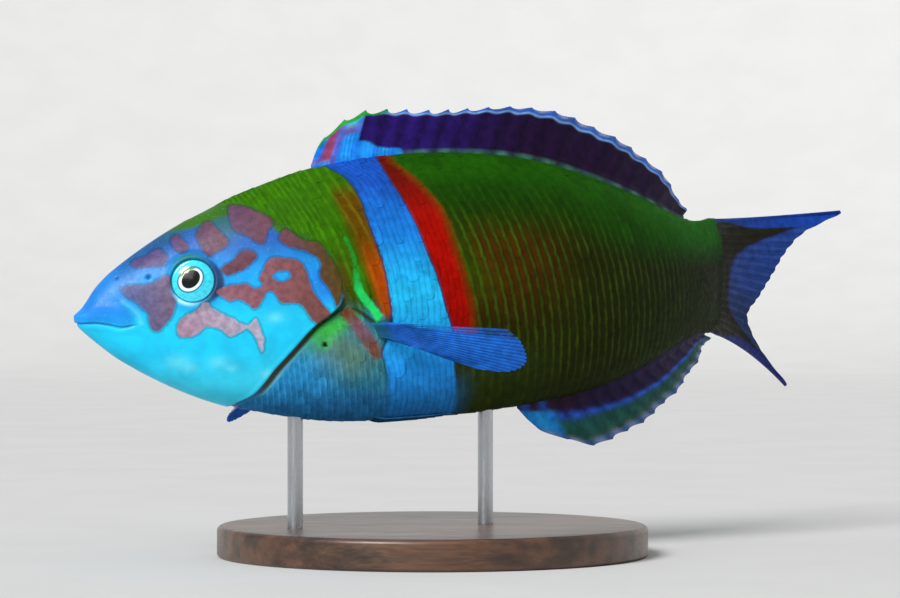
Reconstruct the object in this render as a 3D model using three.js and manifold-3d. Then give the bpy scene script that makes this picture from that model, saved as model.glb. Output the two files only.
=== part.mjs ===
// Ornate wrasse, an adult male in full colour, as a still life-size model on a plain display stand.
// Millimetres, +Z up. The head points to -X, the tail bends away towards +Y, and the origin is
// the centre of the stand's underside. The fish is modelled straight, cut into its named parts,
// and then bent along its spine into the pose of a turning swimmer.
import * as THREE from "three";
import { mergeVertices } from "three/addons/utils/BufferGeometryUtils.js";
import Module from "manifold-3d";

const wasm = await Module();
wasm.setup();

// Driving dimensions
const STANDARD_LENGTH = 156; // snout to the end of the tail stalk
const SNOUT_AT = [-68, -17, 46.4];
const GAP = 0.3; // between touching parts
const BODY_SIDES = 28;
const BODY_STATION = 5; // spacing of the body's cross-sections
const MEMBRANE = 0.55;
const EYE_RADIUS = 4.05;
const EYE_AT = { along: 0.139, up: 0.0355, sunk: 2.75 };

// Pose: the spine's heading away from +X and its rise, in degrees along the standard length
const HEADING = [[0, 10], [0.3, 14], [0.45, 24], [0.6, 35], [0.75, 46], [0.87, 57], [1, 66]];
const RISE = [[0, 4], [0.5, 4], [0.8, 1], [1, -3]];

// Outlines of the straight fish, as shares of the standard length
const BACK = [
  [0, 0.002], [0.004, 0.006], [0.012, 0.014], [0.028, 0.035], [0.05, 0.0545], [0.1, 0.0865],
  [0.15, 0.1125], [0.2, 0.1355], [0.25, 0.1515], [0.3, 0.1645], [0.4, 0.1745], [0.5, 0.1725],
  [0.6, 0.1595], [0.7, 0.1335], [0.8, 0.1045], [0.88, 0.0835], [0.94, 0.0805], [1, 0.087],
];
const BELLY = [
  [0, -0.006], [0.004, -0.0115], [0.012, -0.0205], [0.025, -0.033], [0.05, -0.0545], [0.1, -0.0865],
  [0.15, -0.1115], [0.2, -0.129], [0.3, -0.1515], [0.4, -0.157], [0.5, -0.1575],
  [0.6, -0.152], [0.7, -0.14], [0.8, -0.1145], [0.88, -0.0895], [0.94, -0.0765], [1, -0.0715],
];
const HALF_WIDTH = [
  [0, 0.004], [0.004, 0.009], [0.012, 0.0145], [0.03, 0.022], [0.06, 0.031], [0.1, 0.0415],
  [0.15, 0.0525], [0.2, 0.061], [0.26, 0.067], [0.33, 0.069], [0.42, 0.0685], [0.52, 0.0645],
  [0.62, 0.057], [0.72, 0.0465], [0.82, 0.0345], [0.9, 0.0255], [0.96, 0.018], [1, 0.0095],
];
// How far the gill covers stand proud of the trunk, and how pointed the section is at its top
const GILL_SWELL = [[0.15, 0], [0.24, 0.0026], [0.3, 0.0046], [0.33, 0.0046]];
const TOP_SHARPNESS = [[0, 0.95], [0.1, 1.2], [0.2, 1.22], [0.35, 1.12], [0.7, 1.05], [1, 1]];

// The gill opening's edge from nape to throat, and the front of the gill cover: [along, up]
const NAPE_CUT = [[0.222, 0.2], [0.24, 0.13], [0.262, 0.082]];
const GILL_EDGE = [
  [0.283, 0.057], [0.297, 0.038], [0.307, 0.018], [0.317, -0.003], [0.303, -0.017], [0.281, -0.032],
  [0.264, -0.049], [0.249, -0.0645], [0.233, -0.081], [0.221, -0.096], [0.208, -0.1095], [0.19, -0.118],
];
const THROAT_CUT = [[0.176, -0.126], [0.16, -0.2]];
const CHEEK_EDGE = [[0.186, -0.105], [0.193, -0.07], [0.207, -0.02], [0.224, 0.03], [0.245, 0.058]];
const GILL_COVER_DEPTH = 2.2;

// Mouth, in shares of the standard length
const MOUTH_CORNER = [0.072, -0.017];
const LIP_HEIGHT = 0.0115;
const LIP_PROUD = 0.35;

// Fins
const DORSAL = {
  front: 0.308, rear: 0.893, spines: 8, softRays: 13, split: 0.505,
  sweep: [[0.308, 0.012], [0.37, 0.02], [0.6, 0.034], [0.78, 0.045], [0.86, 0.03], [0.893, 0.012]],
  height: [
    [0.308, 1.5], [0.318, 4], [0.33, 5.6], [0.35, 7.6], [0.375, 8.9], [0.41, 8.7], [0.47, 8.1],
    [0.53, 8.8], [0.6, 10.2], [0.66, 10.9], [0.71, 10.4], [0.77, 9.5], [0.81, 8.5], [0.84, 7.3],
    [0.87, 5.4], [0.9, 2.2], [0.92, 1.2],
  ],
};
const ANAL = {
  front: 0.567, rear: 0.885, spines: 3, softRays: 11,
  sweep: [[0.567, 0.024], [0.65, 0.072], [0.75, 0.085], [0.885, 0.1]],
  height: [
    [0.567, 1.2], [0.605, 6], [0.65, 8.8], [0.69, 11.2], [0.74, 11.5], [0.8, 11.3], [0.87, 10.4],
    [0.91, 9], [0.955, 5.9], [1, 2.4],
  ],
};
const CAUDAL = {
  rays: 16,
  length: [
    [-1, 46.5], [-0.88, 33], [-0.7, 22.5], [-0.45, 17], [-0.15, 20.5], [0.2, 24.5], [0.55, 28.5],
    [0.8, 34.5], [1, 46.5],
  ],
  tipHeading: [46, -15], rise: [-6, 8.8],
};
const PECTORAL = {
  rays: 15, thickness: 1.7, length: 30.5,
  upper: [0.344, -0.03], lower: [0.354, -0.064],
  reach: [[0, 0.88], [0.25, 0.97], [0.45, 1], [0.62, 0.98], [0.78, 0.89], [0.9, 0.75], [1, 0.6]],
  left: { upper: [-20, -2], lower: [-6, -18.5] },
  right: { upper: [-188, -38], lower: [-199, -37] },
};
const PELVIC = { rays: 6, length: 21, along: 0.325, outer: 3.6, inner: 1, drop: 0.95 };

// Stand
const STAND = {
  baseRadius: 42, baseHeight: 6, edge: 1, rodRadius: 1.5,
  rods: { front: 0.262, rear: 0.515 }, sides: 48, rodSides: 16,
};

// Smooth value at t through [t, value] keys
function curve(keys, t) {
  const last = keys.length - 1;
  if (t <= keys[0][0]) return keys[0][1];
  if (t >= keys[last][0]) return keys[last][1];
  let i = 0;
  while (t > keys[i + 1][0]) i += 1;
  const slope = (k) => {
    const a = keys[Math.max(k - 1, 0)];
    const b = keys[Math.min(k + 1, last)];
    return (b[1] - a[1]) / (b[0] - a[0]);
  };
  const span = keys[i + 1][0] - keys[i][0];
  const u = (t - keys[i][0]) / span;
  const rise = u * u * (3 - 2 * u);
  const bow = slope(i) * u * (1 - u) * (1 - u) - slope(i + 1) * u * u * (1 - u);
  return keys[i][1] * (1 - rise) + keys[i + 1][1] * rise + span * bow;
}

const radians = THREE.MathUtils.degToRad;
const blend = THREE.MathUtils.lerp;

// Unit vector with a heading from +X towards +Y and a rise, both in degrees
function direction(heading, rise) {
  const h = radians(heading);
  const r = radians(rise);
  return new THREE.Vector3(Math.cos(h) * Math.cos(r), Math.sin(h) * Math.cos(r), Math.sin(r));
}

// The spine as points half a millimetre apart
const SPINE_STEP = 0.5;
const spine = [new THREE.Vector3(...SNOUT_AT)];
for (let x = 0; x < STANDARD_LENGTH * 1.1; x += SPINE_STEP) {
  const share = (x + SPINE_STEP / 2) / STANDARD_LENGTH;
  const step = direction(curve(HEADING, share), curve(RISE, share)).multiplyScalar(SPINE_STEP);
  spine.push(spine[spine.length - 1].clone().add(step));
}

// A point of the straight fish (x along it, y across with its left side at -y, z up) in the pose
function bend(x, y, z) {
  const share = x / STANDARD_LENGTH;
  const heading = curve(HEADING, share);
  const rise = curve(RISE, share);
  const at = Math.min(Math.max(x, 0) / SPINE_STEP, spine.length - 1.001);
  const i = Math.floor(at);
  const along = direction(heading, rise);
  const across = new THREE.Vector3(-Math.sin(radians(heading)), Math.cos(radians(heading)), 0);
  const up = new THREE.Vector3().crossVectors(along, across);
  return spine[i].clone().lerp(spine[i + 1], at - i)
    .addScaledVector(along, Math.min(x, 0))
    .addScaledVector(across, y)
    .addScaledVector(up, z);
}

const backAt = (share) => curve(BACK, share) * STANDARD_LENGTH;
const bellyAt = (share) => curve(BELLY, share) * STANDARD_LENGTH;

// Section of the straight body at a share of its length: angle 0 is the back, half a turn the belly
function bodyPoint(share, angle, swell, proud) {
  const back = backAt(share) + proud;
  const belly = bellyAt(share) - proud;
  const half = curve(HALF_WIDTH, share) * STANDARD_LENGTH + swell(share) * STANDARD_LENGTH + proud;
  const sharp = Math.cos(angle) > 0 ? blend(1, curve(TOP_SHARPNESS, share), Math.cos(angle)) : 1;
  const side = Math.sin(angle);
  const y = -Math.sign(side) * half * Math.abs(side) ** sharp;
  const z = (back + belly) / 2 + ((back - belly) / 2) * Math.cos(angle);
  return [share * STANDARD_LENGTH, y, z];
}

const headSwell = (share) => curve(GILL_SWELL, share);
const trunkSwell = () => 0;

// Half width of the straight body at a height, for setting things on its flank
function flankAt(share, z, swell, proud = 0) {
  const back = backAt(share) + proud;
  const belly = bellyAt(share) - proud;
  const cosine = (z - (back + belly) / 2) / ((back - belly) / 2);
  const angle = Math.acos(Math.min(Math.max(cosine, -1), 1));
  return -bodyPoint(share, angle, swell, proud)[1];
}

// Closed solid from a list of rings of points, its ends closed by fans
function loft(rings) {
  const n = rings[0].length;
  const points = rings.flat();
  const faces = [];
  for (let r = 0; r < rings.length - 1; r += 1) {
    for (let k = 0; k < n; k += 1) {
      const a = r * n + k;
      const b = r * n + ((k + 1) % n);
      faces.push(a, b, b + n, a, b + n, a + n);
    }
  }
  for (const [r, flip] of [[0, true], [rings.length - 1, false]]) {
    const ring = rings[r];
    const middle = [0, 1, 2].map((c) => ring.reduce((sum, p) => sum + p[c], 0) / n);
    const centre = points.push(middle) - 1;
    for (let k = 0; k < n; k += 1) {
      const a = r * n + k;
      const b = r * n + ((k + 1) % n);
      faces.push(...(flip ? [centre, b, a] : [centre, a, b]));
    }
  }
  return solidFrom(points, faces);
}

// Solid of points and triangles, turned the right way out
function solidFrom(points, faces) {
  const vertProperties = new Float32Array(points.flat());
  const made = new wasm.Manifold(
    new wasm.Mesh({ numProp: 3, vertProperties, triVerts: new Uint32Array(faces) }),
  );
  if (made.volume() > 0) return made;
  const turned = [];
  for (let i = 0; i < faces.length; i += 3) turned.push(faces[i], faces[i + 2], faces[i + 1]);
  return new wasm.Manifold(
    new wasm.Mesh({ numProp: 3, vertProperties, triVerts: new Uint32Array(turned) }),
  );
}

// Solid of a three.js geometry
function solidOf(geometry) {
  const bare = geometry.clone();
  for (const name of Object.keys(bare.attributes)) {
    if (name !== "position") bare.deleteAttribute(name);
  }
  const merged = mergeVertices(bare, 1e-4);
  const p = merged.attributes.position;
  const points = Array.from({ length: p.count }, (_, i) => [p.getX(i), p.getY(i), p.getZ(i)]);
  return solidFrom(points, Array.from(merged.index.array));
}

// Vertices and triangles of a solid
function meshOf(solid) {
  const m = solid.getMesh();
  const points = Array.from({ length: m.numVert }, (_, i) =>
    Array.from(m.vertProperties.subarray(i * m.numProp, i * m.numProp + 3)));
  return { points, faces: Array.from(m.triVerts) };
}

// Only the largest closed piece
function largest(solid) {
  return solid.decompose().reduce((best, part) => (part.volume() > best.volume() ? part : best));
}

// The same solid with every vertex moved into the pose
function posed(solid) {
  const { points, faces } = meshOf(solid);
  return solidFrom(points.map((p) => bend(...p).toArray()), faces);
}

// Stations from a share to a share, close together near the snout
function stations(from, to) {
  const shares = [];
  for (const s of [0, 0.004, 0.012, 0.024, 0.04, 0.06, 0.08]) {
    if (s >= from && s < Math.min(0.1, to)) shares.push(s);
  }
  const begin = Math.max(from, 0.1);
  const count = Math.ceil(((to - begin) * STANDARD_LENGTH) / BODY_STATION);
  for (let i = 0; i <= count; i += 1) shares.push(blend(begin, to, i / count));
  return shares;
}

// Straight body between two shares of its length
function bodySolid(from, to, swell, proud = 0) {
  return loft(stations(from, to).map((share) =>
    Array.from({ length: BODY_SIDES }, (_, k) =>
      bodyPoint(share, (k / BODY_SIDES) * 2 * Math.PI, swell, proud))));
}

// Prism across the straight fish, from an outline of [along, up] shares
function prism(outline, yFrom = -30, yTo = 30) {
  const shape = new THREE.Shape(outline.map(([s, h]) =>
    new THREE.Vector2(s * STANDARD_LENGTH, h * STANDARD_LENGTH)));
  const made = new THREE.ExtrudeGeometry(shape, { depth: yTo - yFrom, bevelEnabled: false });
  made.rotateX(Math.PI / 2);
  made.translate(0, yTo, 0);
  return solidOf(made);
}

// An outline moved along the fish by a distance in millimetres
const shifted = (outline, mm) => outline.map(([s, h]) => [s + mm / STANDARD_LENGTH, h]);

// The line between head and trunk, from above the nape to below the throat
const HEAD_LINE = [...NAPE_CUT, ...GILL_EDGE, ...THROAT_CUT];
const FRONT_LIMIT = -0.1;
const REAR_LIMIT = 1.2;
const STALK_CUT = 0.86;

const headRegion = prism([[FRONT_LIMIT, -0.2], [FRONT_LIMIT, 0.2], ...HEAD_LINE]);
const trunkRegion = prism([
  ...shifted(HEAD_LINE, GAP), [STALK_CUT, -0.2], [STALK_CUT, 0.2],
]);
const stalkRegion = prism([
  [STALK_CUT + GAP / STANDARD_LENGTH, -0.2], [REAR_LIMIT, -0.2],
  [REAR_LIMIT, 0.2], [STALK_CUT + GAP / STANDARD_LENGTH, 0.2],
]);

// Gill cover outline: the free edge behind and the cheek line in front
const GILL_COVER = [...GILL_EDGE, ...CHEEK_EDGE];

// An outline made larger all round, about its middle
function grown(outline, mm) {
  const middle = [0, 1].map((c) => outline.reduce((sum, p) => sum + p[c], 0) / outline.length);
  return outline.map(([s, h]) => {
    const away = [s - middle[0], h - middle[1]];
    const far = Math.hypot(...away) || 1;
    const share = (far + mm / STANDARD_LENGTH) / far;
    return [middle[0] + away[0] * share, middle[1] + away[1] * share];
  });
}

const eyeShare = EYE_AT.along;
const eyeUp = EYE_AT.up * STANDARD_LENGTH;
const eyeOut = flankAt(eyeShare, eyeUp, headSwell) - EYE_AT.sunk;

// Eyeball of one side, with its front a little flattened
function eyeBall(side, radius) {
  const ball = new THREE.SphereGeometry(radius, 20, 12);
  ball.rotateX(Math.PI / 2);
  ball.scale(1, 0.97, 1);
  ball.translate(eyeShare * STANDARD_LENGTH, side * eyeOut, eyeUp);
  return solidOf(ball);
}

// Rim of skin round one eye
function eyeRim(side) {
  const rim = new THREE.TorusGeometry(EYE_RADIUS + 0.3, 0.6, 6, 24);
  rim.rotateX(Math.PI / 2);
  rim.rotateZ(side * radians(6));
  rim.rotateX(-side * radians(14));
  rim.translate(eyeShare * STANDARD_LENGTH, side * (eyeOut + 1.95), eyeUp);
  return solidOf(rim);
}

// Pit of one nostril
function nostril(side, [along, up], radius) {
  const z = up * STANDARD_LENGTH;
  const depth = 1.6;
  const pit = new THREE.CylinderGeometry(radius * 1.2, radius * 0.8, depth, 8);
  pit.rotateX(side > 0 ? 0 : Math.PI);
  pit.translate(along * STANDARD_LENGTH, side * (flankAt(along, z, headSwell) - depth / 4), z);
  return solidOf(pit);
}

const NOSTRILS = [[[0.094, 0.0425], 0.55], [[0.083, 0.0385], 0.4]];

// Mouth: the lower jaw hangs below the mouth's line, the upper lip lies above it
const [cornerAlong, cornerUp] = MOUTH_CORNER;
const MOUTH_LINE = [[-0.02, -0.0035], [0.005, -0.004], [0.03, -0.0065], MOUTH_CORNER];
const JAW_OUTLINE = [
  ...MOUTH_LINE, [cornerAlong + 0.018, cornerUp - 0.016], [0.105, -0.062], [0.116, -0.11], [-0.02, -0.11],
];
const UPPER_LIP_OUTLINE = [
  [-0.02, 0.02], ...MOUTH_LINE.map(([s, h]) => [s, h + GAP / STANDARD_LENGTH]),
  [cornerAlong - 0.004, cornerUp + LIP_HEIGHT], [0.03, 0.009 + LIP_HEIGHT * 0.4],
  [0.012, 0.0085 + LIP_HEIGHT * 0.6],
];
const LOWER_LIP_OUTLINE = [
  ...MOUTH_LINE, [cornerAlong - 0.003, cornerUp - LIP_HEIGHT], [0.03, -0.022], [0.01, -0.017],
  [-0.02, -0.015],
];

// The head's solids in the straight fish
const headWhole = bodySolid(0, 0.34, headSwell).intersect(headRegion);
const headProud = bodySolid(0, 0.16, headSwell, LIP_PROUD);
const innerHead = bodySolid(0.12, 0.34, headSwell, -GILL_COVER_DEPTH);
const innerHeadClear = bodySolid(0.12, 0.34, headSwell, -GILL_COVER_DEPTH - GAP);
const jawRegion = prism(JAW_OUTLINE);
const lipRegion = prism(UPPER_LIP_OUTLINE);

function gillCover(side) {
  const [from, to] = side < 0 ? [-30, -0.4] : [0.4, 30];
  return largest(headWhole.intersect(prism(GILL_COVER, from, to)).subtract(innerHead));
}

function lowerJaw() {
  const lip = headProud.intersect(prism(LOWER_LIP_OUTLINE));
  return largest(headWhole.intersect(jawRegion).add(lip));
}

function upperLip() {
  return largest(headProud.intersect(lipRegion));
}

function headCore() {
  const jawRoom = prism(grown(JAW_OUTLINE, GAP));
  const lipRoom = prism(grown(UPPER_LIP_OUTLINE, GAP));
  let head = headWhole.subtract(jawRoom).subtract(lipRoom);
  for (const side of [-1, 1]) {
    const [from, to] = side < 0 ? [-30, -0.1] : [0.1, 30];
    head = head.subtract(prism(grown(GILL_COVER, GAP), from, to).subtract(innerHeadClear));
    head = head.add(eyeRim(side)).subtract(eyeBall(side, EYE_RADIUS + GAP));
    for (const [at, radius] of NOSTRILS) head = head.subtract(nostril(side, at, radius));
  }
  return largest(head);
}

// Sheet of skin and rays: columns of middle points, root first, and the thickness at each
function sheet(columns, thickness) {
  const rows = columns[0].length;
  const count = columns.length;
  const at = (i, j) => columns[Math.min(Math.max(i, 0), count - 1)][Math.min(Math.max(j, 0), rows - 1)];
  const faceOf = [[], []];
  const points = [];
  for (let i = 0; i < count; i += 1) {
    for (let j = 0; j < rows; j += 1) {
      const wide = at(i + 1, j).clone().sub(at(i - 1, j));
      const long = at(i, j + 1).clone().sub(at(i, j - 1));
      const normal = wide.cross(long).normalize();
      for (const [f, sign] of [[0, 1], [1, -1]]) {
        const p = at(i, j).clone().addScaledVector(normal, (sign * thickness(i, j)) / 2);
        faceOf[f].push(points.push(p.toArray()) - 1);
      }
    }
  }
  const id = (f, i, j) => faceOf[f][i * rows + j];
  const faces = [];
  for (let i = 0; i < count - 1; i += 1) {
    for (let j = 0; j < rows - 1; j += 1) {
      const [a, b, c, d] = [[i, j], [i + 1, j], [i + 1, j + 1], [i, j + 1]];
      faces.push(id(0, ...a), id(0, ...b), id(0, ...c), id(0, ...a), id(0, ...c), id(0, ...d));
      faces.push(id(1, ...a), id(1, ...c), id(1, ...b), id(1, ...a), id(1, ...d), id(1, ...c));
    }
  }
  const rim = [];
  for (let i = 0; i < count; i += 1) rim.push([i, 0]);
  for (let j = 1; j < rows; j += 1) rim.push([count - 1, j]);
  for (let i = count - 2; i >= 0; i -= 1) rim.push([i, rows - 1]);
  for (let j = rows - 2; j > 0; j -= 1) rim.push([0, j]);
  rim.forEach((a, k) => {
    const b = rim[(k + 1) % rim.length];
    faces.push(id(0, ...a), id(1, ...a), id(1, ...b), id(0, ...a), id(1, ...b), id(0, ...b));
  });
  return solidFrom(points, faces);
}

// Columns for a row of rays: each ray has a foot, a crest and a foot, at places from 0 to 1
function rayColumns(rays, ridge = 0.2) {
  const columns = [];
  for (let r = 0; r < rays; r += 1) {
    const pitch = 1 / (rays - 1 + 2 * ridge);
    const centre = (r + ridge) * pitch;
    columns.push({ place: centre - ridge * pitch, crest: false });
    columns.push({ place: centre, crest: true });
    columns.push({ place: centre + ridge * pitch, crest: false });
  }
  return columns;
}

// Thickness of a ray sheet: rays stand out of the membrane and fade towards their tips
function rayThickness(columns, rows, rayRoot, rayTip, root = MEMBRANE) {
  return (i, j) => {
    const out = j / (rows - 1);
    const skin = blend(blend(root, MEMBRANE, Math.min(out * 4, 1)), MEMBRANE * 0.6, Math.max(out * 5 - 4, 0));
    return columns[i].crest ? Math.max(blend(rayRoot, rayTip, out), skin) : skin;
  };
}

const FIN_ROWS = [0, 0.16, 0.36, 0.58, 0.8, 1];

// Fin of the back or the belly: side 1 grows up from the back, side -1 down from the belly
function medianFin(fin, side, from, to, rays, rootRay) {
  const columns = rayColumns(rays);
  const edgeAt = side > 0 ? backAt : bellyAt;
  const points = columns.map(({ place, crest }) => {
    const base = blend(from, to, place);
    const tip = base + curve(fin.sweep, base);
    const height = curve(fin.height, tip) + side * (edgeAt(tip) - edgeAt(base)) - GAP;
    const reach = crest ? 1 : 0.94;
    const wave = 0.35 * Math.sin(place * rays * 2.1);
    return FIN_ROWS.map((row) => {
      const out = row * reach;
      const share = blend(base, tip, out * (0.75 + 0.25 * out));
      const rootZ = edgeAt(base) + side * GAP;
      return bend(share * STANDARD_LENGTH, wave * out * out, rootZ + side * height * out);
    });
  });
  return sheet(points, rayThickness(columns, FIN_ROWS.length, rootRay, 0.5, 0.8));
}

// One lobe of the tail fin: u runs from 0 at the middle to 1 or -1 at the outer ray
function tailLobe(side) {
  const columns = rayColumns(CAUDAL.rays / 2);
  const rows = 9;
  const rootX = STANDARD_LENGTH + GAP;
  const seam = GAP / 2;
  const points = columns.map(({ place }) => {
    const u = side * place;
    const edge = side > 0 ? backAt(1) - 0.2 : bellyAt(1) + 0.2;
    const middle = (backAt(1) + bellyAt(1)) / 2 + side * seam;
    const root = bend(rootX, 0, blend(middle, edge, place));
    const length = curve(CAUDAL.length, u);
    const startHeading = curve(HEADING, 1);
    const tipHeading = CAUDAL.tipHeading[0] + CAUDAL.tipHeading[1] * u;
    const rise = CAUDAL.rise[0] + CAUDAL.rise[1] * u;
    const steps = rows - 1;
    const line = [root];
    for (let j = 1; j <= steps; j += 1) {
      const out = (j - 0.5) / steps;
      const step = direction(blend(startHeading, tipHeading, out), rise * (0.4 + 1.2 * out));
      line.push(line[j - 1].clone().addScaledVector(step, length / steps));
    }
    return line;
  });
  return sheet(points, rayThickness(columns, rows, 1.35, 0.5, 1.2));
}

const inflatedBody = posed(bodySolid(0.2, 0.6, trunkSwell, GAP));
const inflatedHead = posed(bodySolid(0.16, 0.34, headSwell, GAP).intersect(headRegion));

// A part cut clear of the body by the gap
const cutClear = (solid) => largest(solid.subtract(inflatedBody).subtract(inflatedHead));

// Pectoral fin, its root sunk in the flank and then cut clear
function pectoralFin(side, aim) {
  const columns = rayColumns(PECTORAL.rays);
  const rows = 6;
  const sunk = 2;
  const points = columns.map(({ place, crest }) => {
    const along = blend(PECTORAL.upper[0], PECTORAL.lower[0], place);
    const z = blend(PECTORAL.upper[1], PECTORAL.lower[1], place) * STANDARD_LENGTH;
    const root = bend(along * STANDARD_LENGTH, side * (flankAt(along, z, trunkSwell) - sunk), z);
    const heading = blend(aim.upper[0], aim.lower[0], place);
    const rise = blend(aim.upper[1], aim.lower[1], place);
    const length = PECTORAL.length * curve(PECTORAL.reach, place) * (crest ? 1 : 0.985);
    const outward = bend(along * STANDARD_LENGTH, side * 100, z)
      .sub(bend(along * STANDARD_LENGTH, 0, z)).normalize();
    return Array.from({ length: rows }, (_, j) => {
      const out = j / (rows - 1);
      const reach = direction(heading, rise).multiplyScalar(length * out);
      const bow = 2.6 * Math.sin(Math.PI * Math.min(out * 1.25, 1)) * (1 - out * 0.6);
      return root.clone().add(reach).addScaledVector(outward, bow + sunk * Math.min(out * 3, 1));
    });
  });
  return cutClear(sheet(points, rayThickness(columns, rows, PECTORAL.thickness, 0.5, PECTORAL.thickness * 0.85)));
}

// Pelvic fin, folded back under the belly
function pelvicFin(side) {
  const columns = rayColumns(PELVIC.rays);
  const rows = 7;
  const points = columns.map(({ place, crest }) => {
    const across = blend(PELVIC.outer, PELVIC.inner, place);
    const along = PELVIC.along + (0.012 * place);
    const length = PELVIC.length * blend(1, 0.55, place ** 1.4) * (crest ? 1 : 0.96);
    return Array.from({ length: rows }, (_, j) => {
      const out = j / (rows - 1);
      const x = along * STANDARD_LENGTH + length * out;
      const spread = across + 0.4 * out;
      const share = x / STANDARD_LENGTH;
      const half = curve(HALF_WIDTH, share) * STANDARD_LENGTH;
      const middle = (backAt(share) + bellyAt(share)) / 2;
      const under = middle - (middle - bellyAt(share)) * Math.sqrt(1 - Math.min(spread / half, 1) ** 2);
      const off = blend(-1.6, PELVIC.drop, Math.min(out * 5, 1)) + 0.3 * out;
      return bend(x, side * spread, under - off);
    });
  });
  return cutClear(sheet(points, rayThickness(columns, rows, 1.2, 0.5, 1.1)));
}

// Round base with its edges eased
function standBase() {
  const { baseRadius: r, baseHeight: h, edge } = STAND;
  const profile = [[0, 0], [r - edge / 2, 0], [r, edge / 2], [r, h - edge], [r - edge, h], [0, h]];
  const points = profile.map(([x, y]) => new THREE.Vector2(x, y));
  const base = new THREE.LatheGeometry(points, STAND.sides);
  base.rotateX(Math.PI / 2);
  return solidOf(base);
}

// Upright rod from the base into the belly, cut clear of both
function standRod(along) {
  const foot = bend(along * STANDARD_LENGTH, 0, bellyAt(along));
  const from = STAND.baseHeight + GAP;
  const to = foot.z + 3;
  const rod = new THREE.CylinderGeometry(STAND.rodRadius, STAND.rodRadius, to - from, STAND.rodSides);
  rod.rotateX(Math.PI / 2);
  rod.translate(foot.x, foot.y, (from + to) / 2);
  return cutClear(solidOf(rod));
}

const COLOURS = {
  skinBlue: [0x2aa9e8, 0.42], skinGreen: [0x3f7d12, 0.45], finPurple: [0x2a1560, 0.5],
  finBlue: [0x2f6fe0, 0.45], finGreen: [0x3a8a55, 0.5], eye: [0x101010, 0.1],
  base: [0x2b2018, 0.5], steel: [0xb8bcc0, 0.3, 1],
};

const model = new THREE.Group();

// Adds a solid to the model as a named mesh
function place(name, solid, colour) {
  const { points, faces } = meshOf(solid);
  const geometry = new THREE.BufferGeometry();
  geometry.setAttribute("position", new THREE.Float32BufferAttribute(points.flat(), 3));
  geometry.setIndex(faces);
  geometry.computeVertexNormals();
  const [color, roughness, metalness = 0] = COLOURS[colour];
  const mesh = new THREE.Mesh(geometry, new THREE.MeshStandardMaterial({ color, roughness, metalness }));
  mesh.name = name;
  model.add(mesh);
}

place("head", posed(headCore()), "skinBlue");
place("upper_lip", posed(upperLip()), "skinBlue");
place("lower_jaw", posed(lowerJaw()), "skinBlue");
place("trunk", posed(largest(bodySolid(0.1, 0.9, trunkSwell).intersect(trunkRegion))), "skinGreen");
place("tail_stalk", posed(largest(bodySolid(0.8, 1, trunkSwell).intersect(stalkRegion))), "skinGreen");
for (const [name, side] of [["left", -1], ["right", 1]]) {
  place(`gill_cover_${name}`, posed(gillCover(side)), "skinBlue");
  place(`eye_${name}`, posed(eyeBall(side, EYE_RADIUS)), "eye");
  place(`pectoral_fin_${name}`, pectoralFin(side, PECTORAL[name]), "finBlue");
  place(`pelvic_fin_${name}`, pelvicFin(side), "finBlue");
}
const seamShare = GAP / STANDARD_LENGTH;
place("dorsal_fin_spiny", medianFin(DORSAL, 1, DORSAL.front, DORSAL.split, DORSAL.spines, 1.15), "finPurple");
place("dorsal_fin_soft",
  medianFin(DORSAL, 1, DORSAL.split + seamShare * 2, DORSAL.rear, DORSAL.softRays, 1.05), "finPurple");
place("anal_fin", medianFin(ANAL, -1, ANAL.front, ANAL.rear, ANAL.spines + ANAL.softRays, 1.05), "finGreen");
place("tail_fin_upper", tailLobe(1), "finBlue");
place("tail_fin_lower", tailLobe(-1), "finBlue");
place("stand_base", standBase(), "base");
for (const [name, along] of Object.entries(STAND.rods)) place(`stand_rod_${name}`, standRod(along), "steel");

export default model;
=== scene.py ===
# Ornate wrasse, an adult male in full colour: the looks of the still model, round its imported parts.
# The fish is shaped straight, in millimetres: x from snout to tail, y across with its left side at
# -y, z up. Places on it are shares of its standard length, along from the snout and up from its axis.
# bend() then lays every point in the pose, and the meshes are made in metres.
import math

import bpy
import numpy as np
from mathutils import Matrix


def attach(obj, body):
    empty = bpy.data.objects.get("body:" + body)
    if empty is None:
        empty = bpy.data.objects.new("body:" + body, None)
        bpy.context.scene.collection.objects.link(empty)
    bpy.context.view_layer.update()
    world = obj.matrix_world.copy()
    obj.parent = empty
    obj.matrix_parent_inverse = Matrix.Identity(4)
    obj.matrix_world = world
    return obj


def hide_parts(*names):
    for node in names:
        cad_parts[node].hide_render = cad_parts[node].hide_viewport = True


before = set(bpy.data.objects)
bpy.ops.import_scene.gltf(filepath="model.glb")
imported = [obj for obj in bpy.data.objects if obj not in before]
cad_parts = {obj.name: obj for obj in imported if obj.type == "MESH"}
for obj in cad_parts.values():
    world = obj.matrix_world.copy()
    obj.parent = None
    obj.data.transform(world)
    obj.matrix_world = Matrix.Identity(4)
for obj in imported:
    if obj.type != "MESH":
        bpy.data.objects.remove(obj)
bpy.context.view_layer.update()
random = np.random.default_rng(7)

METRES = 0.001
LENGTH = 156.0
SNOUT_AT = (-68.0, -17.0, 46.4)
SPINE_STEP = 0.5
COAT_DEPTH = 0.35
EYE_ALONG = 0.142
EYE_UP = 0.035
EYE_RADIUS = 4.1
SIDES = {"left": -1, "right": 1}

# Depth of places well outside a mark or a bar, in millimetres
OUTSIDE = -9.0

# Pose: heading away from +X and rise of the spine, in degrees
HEADING = [(0, 10), (0.3, 14), (0.45, 24), (0.6, 35), (0.75, 46), (0.87, 57), (1, 66)]
RISE = [(0, 4), (0.5, 4), (0.8, 1), (1, -3)]

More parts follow.
